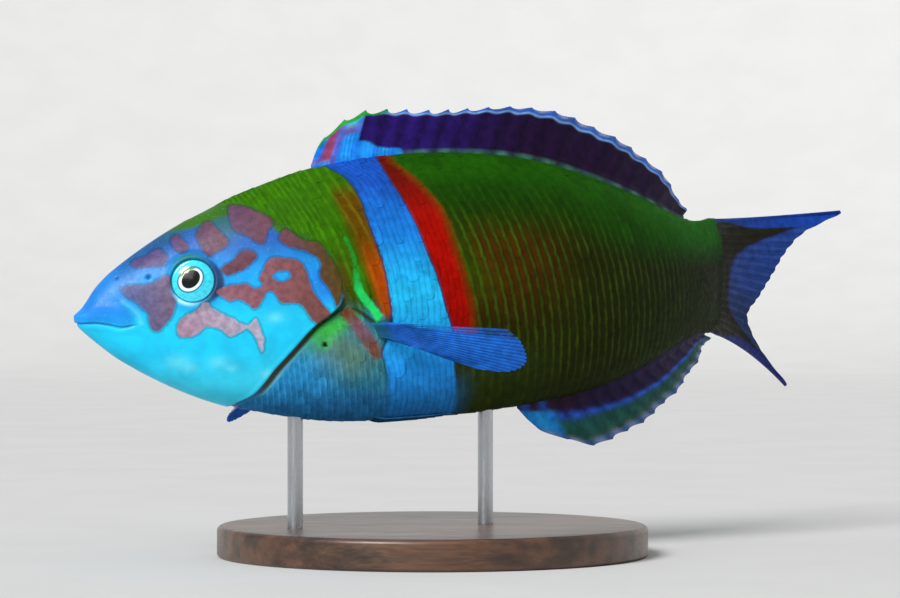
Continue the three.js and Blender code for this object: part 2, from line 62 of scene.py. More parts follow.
# Outlines of the straight fish
BACK = [
    (0, 0.002), (0.004, 0.006), (0.012, 0.014), (0.028, 0.035), (0.05, 0.0545), (0.1, 0.0865),
    (0.15, 0.1125), (0.2, 0.1355), (0.25, 0.1515), (0.3, 0.1645), (0.4, 0.1745), (0.5, 0.1725),
    (0.6, 0.1595), (0.7, 0.1335), (0.8, 0.1045), (0.88, 0.0835), (0.94, 0.0805), (1, 0.087),
    (1.05, 0.081),
]
BELLY = [
    (0, -0.006), (0.004, -0.0115), (0.012, -0.0205), (0.025, -0.033), (0.05, -0.0545),
    (0.1, -0.0865), (0.15, -0.1115), (0.2, -0.129), (0.3, -0.1515), (0.4, -0.157),
    (0.5, -0.1575), (0.6, -0.152), (0.7, -0.14), (0.8, -0.1145), (0.88, -0.0895),
    (0.94, -0.0765), (1, -0.0715), (1.05, -0.067),
]
HALF_WIDTH = [
    (0, 0.004), (0.004, 0.009), (0.012, 0.0145), (0.03, 0.022), (0.06, 0.031), (0.1, 0.0415),
    (0.15, 0.0525), (0.2, 0.061), (0.26, 0.067), (0.33, 0.069), (0.42, 0.0685), (0.52, 0.0645),
    (0.62, 0.057), (0.72, 0.0465), (0.82, 0.0345), (0.9, 0.0255), (0.96, 0.018), (1, 0.0095),
    (1.05, 0.0032),
]
GILL_SWELL = [(0.15, 0), (0.24, 0.0026), (0.3, 0.0046), (0.33, 0.0046)]
TOP_SHARPNESS = [(0, 0.95), (0.1, 1.2), (0.2, 1.22), (0.35, 1.12), (0.7, 1.05), (1, 1)]

# The gill opening's edge from throat to nape, as (up, along)
GILL_EDGE = [
    (-0.2, 0.16), (-0.126, 0.176), (-0.118, 0.19), (-0.1095, 0.208), (-0.096, 0.221),
    (-0.081, 0.233), (-0.0645, 0.249), (-0.049, 0.264), (-0.032, 0.281), (-0.017, 0.303),
    (-0.003, 0.317), (0.018, 0.307), (0.038, 0.297), (0.057, 0.283), (0.082, 0.262),
    (0.13, 0.24), (0.2, 0.222),
]
# Where the scales begin: behind the gill opening as (up, along), and over the nape as (along, up)
SCALES_BEHIND_GILL = [
    (-0.2, 0.16), (-0.126, 0.176), (-0.118, 0.19), (-0.1095, 0.208), (-0.096, 0.221),
    (-0.081, 0.233), (-0.0645, 0.249), (-0.049, 0.264), (-0.032, 0.281), (-0.017, 0.303),
    (-0.003, 0.316), (0.018, 0.318), (0.042, 0.313), (0.054, 0.306),
]
SCALES_OVER_NAPE = [
    (0.15, 0.113), (0.168, 0.118), (0.193, 0.1255), (0.21, 0.1245), (0.227, 0.117), (0.24, 0.1095),
    (0.247, 0.1), (0.257, 0.0925), (0.27, 0.083), (0.283, 0.0755), (0.297, 0.07), (0.306, 0.054),
]

# Where small scales give way to large ones, as (up, along)
SMALL_UNTIL = [(-0.16, 0.4), (-0.06, 0.37), (0, 0.33), (0.05, 0.33), (0.1, 0.325), (0.17, 0.3)]

# Closed mouth, upper lip and the fold behind it, as (along, up), and nostrils with their radius
MOUTH_LINE = [
    (-0.02, -0.006), (0.008, -0.008), (0.024, -0.0085), (0.04, -0.0118), (0.054, -0.0155),
    (0.073, -0.0135),
]
UPPER_LIP = [
    (-0.03, 0.009), (0.006, 0.0085), (0.0135, 0.0155), (0.021, 0.0185), (0.03, 0.0198),
    (0.043, 0.0165), (0.055, 0.0125), (0.064, 0.0047), (0.0695, -0.0024), (0.0705, -0.0097),
    (0.065, -0.0138), (0.054, -0.0155), (0.04, -0.0118), (0.024, -0.0085), (0.008, -0.008),
    (-0.03, -0.006),
]
LIP_FOLD = [(0.058, 0.0145), (0.067, 0.008), (0.075, -0.0016), (0.0775, -0.0126)]
NOSTRILS = [(0.09, 0.0435, 0.38), (0.053, 0.045, 0.24)]

# Pale patches low on the cheek, as (along, up, radius)
CHEEK_PATCHES = [
    (0.118, -0.062, 1.3), (0.132, -0.07, 0.9), (0.166, -0.066, 1.1), (0.182, -0.074, 0.7),
    (0.235, -0.016, 1.0), (0.222, -0.084, 0.8),
]

# Fleshy root of the pectoral fin, a line of painted shade above it and a dot in front of it, as (along,
# up)
FIN_ROOT = [(0.322, -0.018), (0.333, -0.034), (0.345, -0.052), (0.356, -0.07)]
FIN_LINE = [(0.331, -0.0125), (0.348, -0.0275), (0.377, -0.0395)]
BREAST_DOT = (0.293, -0.054)

# Corner where the two edges of the scaled skin meet, and a grey patch under the pectoral fin
SCALE_CORNER = (0.311, 0.054)
GREY_PATCH = [(0.3, -0.055), (0.325, -0.07)]


# Shape
def curve(keys, at):
    """Smooth value at a place through (place, value) keys."""
    places, values = np.array(keys, float).T
    held = np.clip(at, places[0], places[-1])
    last = len(places) - 1
    i = np.clip(np.searchsorted(places, held) - 1, 0, last - 1)
    before = np.clip(np.arange(last + 1) - 1, 0, None)
    after = np.clip(np.arange(last + 1) + 1, None, last)
    slope = (values[after] - values[before]) / (places[after] - places[before])
    span = places[i + 1] - places[i]
    u = (held - places[i]) / span
    rise = u * u * (3 - 2 * u)
    bow = slope[i] * u * (1 - u) ** 2 - slope[i + 1] * u * u * (1 - u)
    return values[i] * (1 - rise) + values[i + 1] * rise + span * bow


def smooth(low, high, value):
    """0 below low, 1 above high, and eased between."""
    u = np.clip((value - low) / (high - low), 0, 1)
    return u * u * (3 - 2 * u)


def hump(value, width):
    """1 where value is 0, fading to 0 a few widths away."""
    return np.exp(-((value / width) ** 2))


def lerp(a, b, share):
    return a + (b - a) * share


def direction(heading, rise):
    """Unit vectors with a heading from +X towards +Y and a rise, in degrees."""
    h = np.radians(heading)
    r = np.radians(rise)
    return np.stack(np.broadcast_arrays(np.cos(h) * np.cos(r), np.sin(h) * np.cos(r), np.sin(r)), -1)


def unit(vectors):
    return vectors / np.maximum(np.linalg.norm(vectors, axis=-1, keepdims=True), 1e-12)


def spine_points():
    """The spine in the pose, a point every SPINE_STEP."""
    share = (np.arange(0, LENGTH * 1.1, SPINE_STEP) + SPINE_STEP / 2) / LENGTH
    steps = direction(curve(HEADING, share), curve(RISE, share)) * SPINE_STEP
    return np.array(SNOUT_AT) + np.vstack([np.zeros(3), np.cumsum(steps, axis=0)])


SPINE = spine_points()


def bend(x, y, z):
    """Points of the straight fish in the pose."""
    x, y, z = np.broadcast_arrays(np.asarray(x, float), y, z)
    share = x / LENGTH
    heading = curve(HEADING, share)
    along = direction(heading, curve(RISE, share))
    across = direction(heading + 90, 0)
    up = np.cross(along, across)
    at = np.clip(x / SPINE_STEP, 0, len(SPINE) - 1.001)
    i = at.astype(int)
    between = (at - i)[..., None]
    centre = SPINE[i] * (1 - between) + SPINE[i + 1] * between
    ahead = np.minimum(x, 0)[..., None]
    return centre + along * ahead + across * y[..., None] + up * z[..., None]


def middle_up(share):
    return (curve(BACK, share) + curve(BELLY, share)) / 2


def half_height(share):
    return (curve(BACK, share) - curve(BELLY, share)) / 2


def height_at(share, angle):
    """How far up a point of the section is, as a share of the length."""
    return middle_up(share) + half_height(share) * np.cos(angle)


def below_back(share, up):
    """How far below the outline of the back places are, in millimetres."""
    return (curve(BACK, share) - up) * LENGTH


def behind_gill(share, up):
    """How far behind the gill opening's edge places are, in millimetres."""
    return (share - curve(GILL_EDGE, up)) * LENGTH


def swell_at(share, up):
    """Extra half width of the head over the gills: a step at the open slit, and no edge above it."""
    reach = lerp(0.02, 4.0, smooth(-0.012, 0.03, up))
    on_head = smooth(reach, -reach, behind_gill(share, up))
    return curve(GILL_SWELL, share) * on_head * smooth(0.12, 0.05, up)


def section(share, angle):
    """Points of the straight body: angle 0 is the back and half a turn the belly."""
    up = height_at(share, angle)
    half = curve(HALF_WIDTH, share) + swell_at(share, up)
    sharpness = 1 + (curve(TOP_SHARPNESS, share) - 1) * np.maximum(np.cos(angle), 0)
    side = np.sin(angle)
    out = -np.sign(side) * half * np.abs(side) ** sharpness
    return share * LENGTH, out * LENGTH, up * LENGTH


def surface(share, angle, lift):
    """Points of the posed body, lifted off it by some millimetres, with its normals."""
    share, angle, lift = np.broadcast_arrays(np.asarray(share, float), angle, lift)
    nudge = 0.0015
    along = bend(*section(share + nudge, angle)) - bend(*section(share - nudge, angle))
    around = bend(*section(share, angle + nudge)) - bend(*section(share, angle - nudge))
    normal = unit(np.cross(around, along))
    return bend(*section(share, angle)) + normal * lift[..., None], normal


def flank_angle(share, up):
    """The angle on the left flank at which the section is that far up."""
    return np.arccos(np.clip((up - middle_up(share)) / half_height(share), -1, 1))


# Colours
def srgb(red, green, blue):
    """A screen colour from 0 to 255 as linear light."""
    c = np.array([red, green, blue]) / 255
    return np.where(c <= 0.04045, c / 12.92, ((c + 0.055) / 1.055) ** 2.4)


def paint(under, over, amount):
    """One colour laid over others, by an amount at each place."""
    return under + (over - under) * np.asarray(amount)[..., None]


def palette(**colours):
    """Screen colours by name, as linear light."""
    return {name: srgb(*colour) for name, colour in colours.items()}


def coats(colour, colours, *layers):
    """A colour under layers of others, each given by its name or itself, with its amount."""
    for over, amount in layers:
        colour = paint(colour, colours[over] if isinstance(over, str) else over, amount)
    return colour


# Head colours. The palest cyan, low on the chin, is painted light: the flash lighting the underside of
# the head.
HEAD = palette(
    cyan=(20, 202, 246), mid=(24, 160, 236), forehead=(22, 88, 172), snout=(24, 122, 208),
    lip=(20, 120, 226), lip_line=(14, 70, 160), pit=(12, 30, 70), crown=(26, 78, 124),
    green=(50, 108, 12), teal=(26, 92, 86), pale=(120, 236, 252), line=(28, 112, 226),
    chin=(70, 224, 248),
)
# Skin round the eye; its pale colour low in front is a painted highlight, the glint along the rim below
# the eye.
EYE_RIM = palette(
    rear=(32, 50, 94), top=(28, 118, 126), low=(176, 238, 246), ring=(24, 140, 188),
)
MARKS = palette(
    violet=(78, 62, 112), plum=(86, 54, 84), rose=(96, 56, 70), rust=(116, 70, 68),
    olive=(86, 66, 26), flesh=(140, 90, 104), grey=(78, 88, 138), pink=(162, 130, 152),
    pale=(170, 164, 186), dusk=(108, 90, 118),
)
# Trunk colours. Some are painted light and shade: brighter green along the top of the tail stalk, a dark
# line over the pectoral fin's root, the darkest band right under the gill cover's edge, and a pale line
# behind the opening's lower part.
TRUNK = palette(
    nape=(46, 98, 2), nape_line=(62, 122, 8), crest=(26, 80, 3), back=(22, 60, 3),
    back_line=(34, 76, 8), rear_top=(20, 66, 2), flank=(34, 40, 2), flank_line=(66, 84, 14),
    rear=(22, 34, 2), rear_line=(36, 54, 10), stalk_top=(18, 96, 1), red_tint=(92, 42, 3),
    orange=(88, 60, 2), orange_low=(164, 66, 4), orange_line=(98, 84, 5), orange_pale=(176, 84, 8),
    breast=(40, 118, 140), breast_line=(76, 150, 156), thorax=(38, 140, 200),
    thorax_line=(62, 170, 226), breast_green=(62, 190, 60), grey=(120, 146, 96), belly=(38, 110, 166),
    belly_line=(46, 126, 184), flesh=(134, 80, 96), maroon=(112, 26, 24), rust=(120, 62, 34),
    olive=(78, 62, 12), low=(46, 62, 20), fin_line=(40, 44, 22), dot=(8, 20, 12),
    slit_top=(24, 74, 34), slit_low=(84, 76, 62), slit_dark=(20, 40, 44), slit_pale=(110, 196, 206),
)
BARS = palette(
    stripe=(38, 214, 104), stripe_top=(26, 140, 44), red=(168, 10, 2), red_dark=(122, 16, 2),
    red_top=(98, 16, 6), red_rim=(112, 50, 5), edge=(16, 56, 100),
)

# Colours of the blue bar by height: 0 at BAR_FOOT up from the axis, 1 a BAR_HEIGHT above that
BAR_FOOT = -0.2
BAR_HEIGHT = 0.4
BLUE_BAR = [
    (0.1, srgb(42, 120, 194)), (0.27, srgb(38, 156, 248)), (0.42, srgb(38, 184, 248)),
    (0.5, srgb(38, 196, 250)), (0.68, srgb(28, 126, 216)), (0.85, srgb(24, 78, 176)),
]

# Edges of the bars on the flank, as (up, along)
ORANGE_FRONT = [(-0.022, 0.359), (0.008, 0.352), (0.038, 0.344), (0.086, 0.331), (0.128, 0.319)]
BLUE_FRONT = [
    (-0.131, 0.372), (-0.092, 0.367), (-0.067, 0.362), (-0.038, 0.374), (0.012, 0.372),
    (0.044, 0.368), (0.084, 0.359), (0.121, 0.352), (0.146, 0.342), (0.167, 0.32),
]
BLUE_REAR = [
    (-0.151, 0.462), (-0.117, 0.455), (-0.094, 0.451), (-0.049, 0.447), (-0.022, 0.44),
    (0.015, 0.432), (0.052, 0.421), (0.086, 0.412), (0.12, 0.4), (0.146, 0.39), (0.168, 0.385),
]
RED_REAR = [
    (-0.052, 0.48), (-0.018, 0.477), (0.012, 0.471), (0.055, 0.461), (0.1, 0.451),
    (0.122, 0.439), (0.146, 0.422), (0.164, 0.405),
]
GREEN_STRIPE = [(-0.022, 0.357), (0.009, 0.338), (0.047, 0.335), (0.075, 0.327)]

# Pitch of the fine lines across the bars, in millimetres
LINE_PITCH = 1.1


def scaled_depth(share, up):
    """How far inside the scaled skin a place is, in millimetres."""
    behind = (share - curve(SCALES_BEHIND_GILL, up)) * LENGTH
    over = (up - curve(SCALES_OVER_NAPE, share)) * LENGTH * 0.8
    corner_along, corner_up = SCALE_CORNER
    above = np.where(share > corner_along, np.maximum(over, behind), over)
    return np.where(up < corner_up, behind, above)


def flat_places(share, up):
    """Places on the flank as a list of points, in millimetres."""
    return np.stack([share, up], -1).reshape(-1, 2) * LENGTH


def lip_depth(share, up):
    """How far inside the upper lip places are, in millimetres."""
    places = flat_places(share, up)
    depth = np.full(len(places), OUTSIDE)
    near = np.flatnonzero(places[:, 0] < 0.1 * LENGTH)
    depth[near] = outline_depth(places[near], rounded(UPPER_LIP))
    return depth.reshape(share.shape)


def distance_from(share, up, line):
    """Distance of places from a line of (along, up), in millimetres."""
    return line_distance(flat_places(share, up), np.array(line) * LENGTH).reshape(share.shape)


def band(place, middle, width):
    """1 where a share of the length is at a middle, fading to 0 a few millimetres away."""
    return hump((place - middle) * LENGTH, width)


def spot(share, up, along, high, radius, stretch=1.0):
    """1 at the middle of a spot, fading to 0 a few radii away."""
    return hump(np.hypot((share - along) / stretch, up - high) * LENGTH, radius)


def head_colour(share, up):
    """Colour of the head's skin between its marks."""
    depth = below_back(share, up)
    between = band(share, 0.297, 3.0) * smooth(-0.02, 0.01, up) * smooth(0.05, 0.03, up)
    mouth = band(up, curve(MOUTH_LINE, share), 0.2) * smooth(0.08, 0.06, share)
    patches = [("pale", 0.5 * spot(share, up, *patch, stretch=1.6)) for patch in CHEEK_PATCHES]
    pits = [("pit", 0.9 * spot(share, up, *nostril)) for nostril in NOSTRILS]
    colour = coats(
        HEAD["cyan"], HEAD,
        ("mid", smooth(-0.015, 0.025, up)),
        ("forehead", smooth(0.025, 0.085, up + 0.25 * np.maximum(0.12 - share, 0))),
        ("snout", 0.8 * smooth(0.11, 0.03, share) * smooth(-0.02, 0.015, up)),
        ("crown", 0.75 * smooth(4.5, 1, depth) * smooth(0.03, 0.09, share)),
        ("teal", 0.85 * band(share, 0.186, 3.2) * smooth(0.07, 0.1, up)),
        ("green", 0.85 * smooth(2.2, 0.6, depth) * smooth(0.1, 0.15, share)),
        ("line", 0.7 * between),
        ("pale", 0.3 * hump(distance_from(share, up, LIP_FOLD), 0.4)),
        # Painted light: paler cyan where the flash lights the underside of the head.
        ("chin", 0.5 * smooth(-0.05, -0.1, up) * smooth(0.05, 0.1, share)),
        *patches,
        ("lip", 0.6 * smooth(-0.5, 0.9, lip_depth(share, up))),
        ("lip_line", 0.6 * mouth),
        *pits,
    )
    return eye_rim(share, up, colour)


def eye_rim(share, up, colour):
    """Skin round the eye: dark behind it, teal over it, and a painted highlight below it in front, a
    pale glint along the rim.
    """
    x = (share - EYE_ALONG) * LENGTH
    y = (up - EYE_UP) * LENGTH
    far = np.hypot(x, y)
    turn = np.degrees(np.arctan2(y, x))
    off_rear = np.abs(turn + 8)
    reach = 5.5 - 0.012 * off_rear
    return coats(
        colour, EYE_RIM,
        ("ring", 0.75 * smooth(4.7, 4.3, far)),
        ("top", hump(turn - 98, 40) * smooth(5.5, 4.9, far)),
        ("rear", 0.92 * smooth(95, 25, off_rear) * smooth(reach + 0.6, reach, far)),
        # Painted highlight: a pale glint along the rim below the eye, in front.
        ("low", 0.8 * hump(turn + 118, 32) * smooth(5.2, 4.6, far)),
    )


def trunk_colours(share, up):
    """Ground colour of the scaled skin and the colour of the lines on its scales."""
    depth = below_back(share, up)
    part = depth / (2 * half_height(share) * LENGTH)
    rearward = smooth(0.45, 0.95, share)
    tint = smooth(0.45, 0.5, share) * smooth(0.66, 0.53, share) * hump(up - 0.025, 0.06)
    column = (share - curve(SCALE_LEAN, up)) * LENGTH
    between_lines = 0.5 + 0.5 * np.cos((column - 0.5) * np.pi)
    back = paint(TRUNK["back"], TRUNK["rear_top"], smooth(0.6, 0.8, share))
    top = smooth(0.36, 0.16, part - 0.08 * smooth(0.6, 0.75, share))
    ground = coats(
        TRUNK["flank"], TRUNK,
        ("rear", rearward),
        ("red_tint", tint * (0.1 + 0.55 * between_lines)),
        ("low", 0.8 * smooth(-0.05, -0.1, up) * smooth(0.66, 0.5, share)),
        (back, top),
        ("crest", 0.85 * smooth(8.5, 3, depth)),
        # Painted highlight: brighter green along the top of the tail stalk, where the light falls.
        ("stalk_top", smooth(0.72, 0.9, share) * smooth(0.34, 0.1, part)),
    )
    plain = np.maximum(smooth(8.5, 4.5, depth), smooth(0.82, 0.92, share))
    faint = np.maximum(0.8 * smooth(-0.085, -0.135, up), 0.9 * plain)
    nape = smooth(0.46, 0.36, share + 0.6 * (up - 0.12)) * smooth(-0.03, 0.03, up)
    line = coats(TRUNK["flank_line"], TRUNK, ("rear_line", rearward), ("back_line", top),
                 (ground, faint), ("nape_line", nape))
    olive = 0.9 * band(share, 0.32, 1.7) * hump(up - 0.025, 0.03)
    ground = coats(ground, TRUNK, ("nape", nape), ("olive", olive))
    return orange_bar(share, up, *breast(share, up, ground, line))


def breast(share, up, ground, line):
    """Colours under the pectoral fin: green at the gill, then streaked grey and blue to the belly."""
    rear = smooth(0.27, 0.33, share + 0.25 * (up + 0.08))
    grey = hump(distance_from(share, up, GREY_PATCH), 4.0)
    green = 0.9 * band(up, -0.034, 3.6) * smooth(9, 4, behind_gill(share, up))
    shade = coats(TRUNK["thorax"], TRUNK, ("breast", rear), ("grey", 0.55 * grey),
                  ("breast_green", green))
    light = coats(TRUNK["thorax_line"], TRUNK, ("breast_line", rear), ("grey", 0.4 * grey),
                  ("breast_green", green))
    below = smooth(0.0, -0.03, up) * smooth(0.376, 0.362, share)
    belly = smooth(-0.09, -0.135, up) * smooth(0.49, 0.43, share)
    ragged = 0.25 * np.sin(up * 1100 + share * 700)
    flesh = smooth(1.55, 0.75, distance_from(share, up, FIN_ROOT) + ragged)
    root = coats(TRUNK["maroon"], TRUNK, ("flesh", smooth(-0.02, -0.032, up)),
                 ("rust", smooth(-0.045, -0.06, up)))
    # Painted shade: a dark line along the top of the pectoral fin's root.
    dark = smooth(0.55, 0.25, distance_from(share, up, FIN_LINE))
    dot = np.hypot(share - BREAST_DOT[0], up - BREAST_DOT[1]) * LENGTH
    details = [("fin_line", 0.85 * dark), ("breast_green", 0.7 * hump(dot, 1.0)),
               ("dot", smooth(0.65, 0.4, dot))]
    ground = coats(ground, TRUNK, (shade, below), ("belly", belly), (root, 0.9 * flesh), *details)
    line = coats(line, TRUNK, (light, below), ("belly_line", belly), (root, 0.75 * flesh), *details)
    return ground, line


def before_red_rear(share, up):
    """How far in front of the red bar's rear edge places are, in millimetres."""
    return (curve(RED_REAR, up) - share) * LENGTH


def orange_bar(share, up, ground, line):
    """Adds the soft orange bar in front of the blue one."""
    behind = (share - curve(ORANGE_FRONT, up)) * LENGTH
    orange = smooth(-0.8, 1.2, behind) * smooth(-0.03, -0.02, up) * smooth(0.15, 0.12, up)
    orange = orange * smooth(0.0, 1.0, before_red_rear(share, up))
    lower = smooth(0.085, 0.02, up) * smooth(-0.5, 1.5, behind)
    shade = paint(TRUNK["orange"], TRUNK["orange_low"], lower)
    light = paint(TRUNK["orange_line"], TRUNK["orange_pale"], lower)
    return paint(ground, shade, orange), paint(line, light, orange)


def bar_depths(share, up):
    """How far inside the blue and red bars and from the green stripe places are, in millimetres."""
    front = (share - curve(BLUE_FRONT, up)) * LENGTH
    rear = (curve(BLUE_REAR, up) - share) * LENGTH
    low_end = (up + 0.062 + 0.012 * np.sin(share * 900)) * LENGTH
    red = np.where(rear > 1, OUTSIDE, np.minimum(before_red_rear(share, up), low_end))
    past_ends = np.maximum(up - 0.075, 0) + np.maximum(-0.024 - up, 0)
    thinner = 0.55 * smooth(0.0, 0.05, up) + 80 * past_ends
    stripe = np.abs(share - curve(GREEN_STRIPE, up)) * LENGTH + thinner
    return {"blue": np.minimum(front, rear), "across": front, "red": red, "stripe": stripe,
            "high": (up - BAR_FOOT) / BAR_HEIGHT}


# Marks of the head: closed outlines of (along, up), and their colours in front and at the rear
MARK_OUTLINES = [
    ([(0.073, 0.0632), (0.090, 0.0693), (0.104, 0.0768), (0.111, 0.0732), (0.115, 0.0656),
      (0.110, 0.0567), (0.093, 0.0561), (0.076, 0.0565)], "violet", "violet"),
    ([(0.130, 0.0923), (0.140, 0.0810), (0.140, 0.0743), (0.134, 0.0699), (0.126, 0.0735),
      (0.122, 0.0806), (0.123, 0.0879)], "violet", "plum"),
    ([(0.169, 0.1066), (0.180, 0.0933), (0.188, 0.0812), (0.184, 0.0735), (0.174, 0.0693),
      (0.165, 0.0631), (0.158, 0.0699), (0.154, 0.0805), (0.152, 0.0917), (0.159, 0.1007)],
     "plum", "rose"),
    ([(0.196, 0.1234), (0.213, 0.1218), (0.227, 0.1141), (0.239, 0.1075), (0.244, 0.1008),
      (0.239, 0.0920), (0.234, 0.0847), (0.230, 0.0751), (0.221, 0.0766), (0.210, 0.0862),
      (0.198, 0.0928), (0.194, 0.1024)], "plum", "rose"),
    ([(0.176, 0.0458), (0.180, 0.0510), (0.192, 0.0572), (0.199, 0.0652), (0.208, 0.0681),
      (0.217, 0.0661), (0.220, 0.0590), (0.214, 0.0521), (0.205, 0.0457), (0.191, 0.0401),
      (0.181, 0.0401)], "rose", "rose"),
    ([(0.237, 0.0561), (0.248, 0.0562), (0.263, 0.0526), (0.271, 0.0472), (0.276, 0.0375),
      (0.279, 0.0252), (0.283, 0.0115), (0.291, -0.0025), (0.302, -0.0194), (0.291, -0.0319),
      (0.281, -0.0252), (0.273, -0.0141), (0.266, -0.0031), (0.256, -0.0001), (0.246, -0.0003),
      (0.240, 0.0052), (0.235, 0.0144), (0.227, 0.0146), (0.222, 0.0060), (0.215, -0.0032),
      (0.209, -0.0027), (0.202, 0.0039), (0.193, 0.0090), (0.183, 0.0076), (0.174, 0.0138),
      (0.168, 0.0184), (0.172, 0.0235), (0.180, 0.0262), (0.197, 0.0273), (0.205, 0.0278),
      (0.211, 0.0226), (0.217, 0.0213), (0.223, 0.0252), (0.220, 0.0327), (0.226, 0.0444),
      (0.231, 0.0525)], "flesh", "rust"),
    ([(0.251, 0.0850), (0.256, 0.0906), (0.263, 0.0881), (0.270, 0.0811), (0.280, 0.0737),
      (0.290, 0.0733), (0.297, 0.0689), (0.304, 0.0559), (0.313, 0.0397), (0.3165, 0.0247),
      (0.3165, 0.0102), (0.314, -0.0016), (0.308, -0.0099), (0.306, -0.0010), (0.302, 0.0106),
      (0.294, 0.0241), (0.291, 0.0327), (0.294, 0.0435), (0.292, 0.0506), (0.286, 0.0559),
      (0.278, 0.0613), (0.262, 0.0669), (0.253, 0.0726), (0.248, 0.0797)], "rose", "olive"),
    ([(0.057, 0.0320), (0.067, 0.0349), (0.091, 0.0349), (0.099, 0.0386), (0.106, 0.0423),
      (0.114, 0.0437), (0.116, 0.0358), (0.115, 0.0260), (0.118, 0.0166), (0.120, 0.0098),
      (0.118, 0.0025), (0.114, -0.0057), (0.107, -0.0148), (0.100, -0.0215), (0.094, -0.0235),
      (0.088, -0.0181), (0.086, -0.0091), (0.085, -0.0004), (0.079, 0.0067), (0.073, 0.0139),
      (0.065, 0.0191), (0.060, 0.0245)], "grey", "dusk"),
    ([(0.119, -0.0241), (0.120, -0.0163), (0.124, -0.0107), (0.131, -0.0057), (0.139, -0.0025),
      (0.146, 0.0014), (0.151, 0.0064), (0.158, 0.0073), (0.161, 0.0014), (0.169, -0.0034),
      (0.177, -0.0089), (0.186, -0.0136), (0.195, -0.0201), (0.203, -0.0225), (0.212, -0.0156),
      (0.216, -0.0215), (0.218, -0.0314), (0.221, -0.0401), (0.220, -0.0496), (0.217, -0.0570),
      (0.211, -0.0401), (0.206, -0.0315), (0.200, -0.0279), (0.192, -0.0316), (0.183, -0.0355),
      (0.176, -0.0325), (0.170, -0.0266), (0.158, -0.0216), (0.151, -0.0232), (0.144, -0.0291),
      (0.133, -0.0326), (0.123, -0.0315)], "pink", "pale"),
]
OCELLUS = (0.247, 0.0335, 1.65, 1.0)


def rounded(outline, steps=6):
    """A closed outline with its corners rounded, in millimetres."""
    points = np.array(outline) * LENGTH
    u = np.arange(steps)[:, None] / steps
    before, after, later = (np.roll(points, k, axis=0) for k in (1, -1, -2))
    pieces = []
    for a, b, c, d in zip(before, points, after, later):
        pieces.append(0.5 * (2 * b + (c - a) * u + (2 * a - 5 * b + 4 * c - d) * u**2
                             + (3 * b - a - 3 * c + d) * u**3))
    return np.vstack(pieces)


def line_distance(places, line):
    """Distance of places from a line of points, both in millimetres."""
    nearest = np.full(len(places), 1e9)
    for a, b in zip(line[:-1], line[1:]):
        way = b - a
        share = np.clip(((places - a) @ way) / max(way @ way, 1e-12), 0, 1)
        gap = places - a - share[:, None] * way
        nearest = np.minimum(nearest, np.hypot(gap[:, 0], gap[:, 1]))
    return nearest


def outline_depth(places, outline):
    """How far inside a closed outline places are, in millimetres, below 0 outside it."""
    inside = np.zeros(len(places), bool)
    for a, b in zip(outline, np.roll(outline, -1, axis=0)):
        if a[1] != b[1]:
            crosses = (a[1] > places[:, 1]) != (b[1] > places[:, 1])
            at = a[0] + (places[:, 1] - a[1]) * (b[0] - a[0]) / (b[1] - a[1])
            inside ^= crosses & (places[:, 0] < at)
    far = line_distance(places, np.vstack([outline, outline[:1]]))
    return np.where(inside, far, -far)


def head_marks(share, up):
    """Depth into the nearest mark of the head, in millimetres, and that mark's colour."""
    places = flat_places(share, up)
    depth = np.full(len(places), OUTSIDE)
    colour = np.tile(MARKS["rose"], (len(places), 1))
    near = np.flatnonzero((places[:, 0] < 0.34 * LENGTH) & (places[:, 1] > -0.08 * LENGTH))
    for outline, front, rear in MARK_OUTLINES:
        found = outline_depth(places[near], rounded(outline))
        nearer = found > depth[near]
        low, high = (pick(along for along, _ in outline) * LENGTH for pick in (min, max))
        rearward = smooth(low, high, places[near[nearer], 0])
        colour[near[nearer]] = paint(MARKS[front], MARKS[rear], rearward)
        depth[near[nearer]] = found[nearer]
    x, y = (places - np.array([EYE_ALONG, EYE_UP]) * LENGTH).T
    turn = np.arctan2(y, x)
    streak = (0.5 + 0.5 * np.sin(turn * 38)) * hump(turn + 1.3, 0.55) * smooth(10, 6, np.hypot(x, y))
    colour = paint(colour, MARKS["pale"], 0.5 * streak)
    along, high, wide, tall = OCELLUS
    x, y = (places - np.array([along, high]) * LENGTH).T
    depth = np.minimum(depth, (np.hypot(x / wide, y / tall) - 1) * tall)
    return depth.reshape(share.shape), colour.reshape(share.shape + (3,))


def markings(share, up):
    """Everything painted on the skin and its scales at places on the body."""
    share, up = np.broadcast_arrays(share, up)
    ground, line = trunk_colours(share, up)
    ahead = 1.7 * smooth(0.0, 0.02, up)
    scaled = smooth(-0.5 - ahead, 0.5 - ahead, scaled_depth(share, up))
    return {"ground": paint(head_colour(share, up), ground, scaled), "line": line,
            **bar_depths(share, up)}


# Meshes
def grid_faces(rows, columns, closed=False):
    """Quads of a grid of points, whose columns may join up round it."""
    r = np.arange(rows - 1)[:, None] * columns
    c = np.arange(columns if closed else columns - 1)[None, :]
    after = (c + 1) % columns
    return np.stack([r + c, r + after, r + after + columns, r + c + columns], -1).reshape(-1, 4)


def fan(tip, ring):
    """Triangles from a tip round a closed ring of points."""
    return np.stack([np.full_like(ring, tip), ring, np.roll(ring, -1)], -1).tolist()


def closed_faces(rows, columns):
    """Faces of a grid that joins up round it, closed over its ends from two points listed after it."""
    ring = np.arange(columns)
    first, last = rows * columns, rows * columns + 1
    ends = fan(first, ring[::-1]) + fan(last, (rows - 1) * columns + ring)
    return grid_faces(rows, columns, closed=True).tolist() + ends


def circle(count):
    """Evenly spaced angles round a full turn, as one row."""
    return (np.arange(count) / count * 2 * np.pi)[None, :]


def add_object(name, data):
    made = bpy.data.objects.new(name, data)
    bpy.context.collection.objects.link(made)
    return made


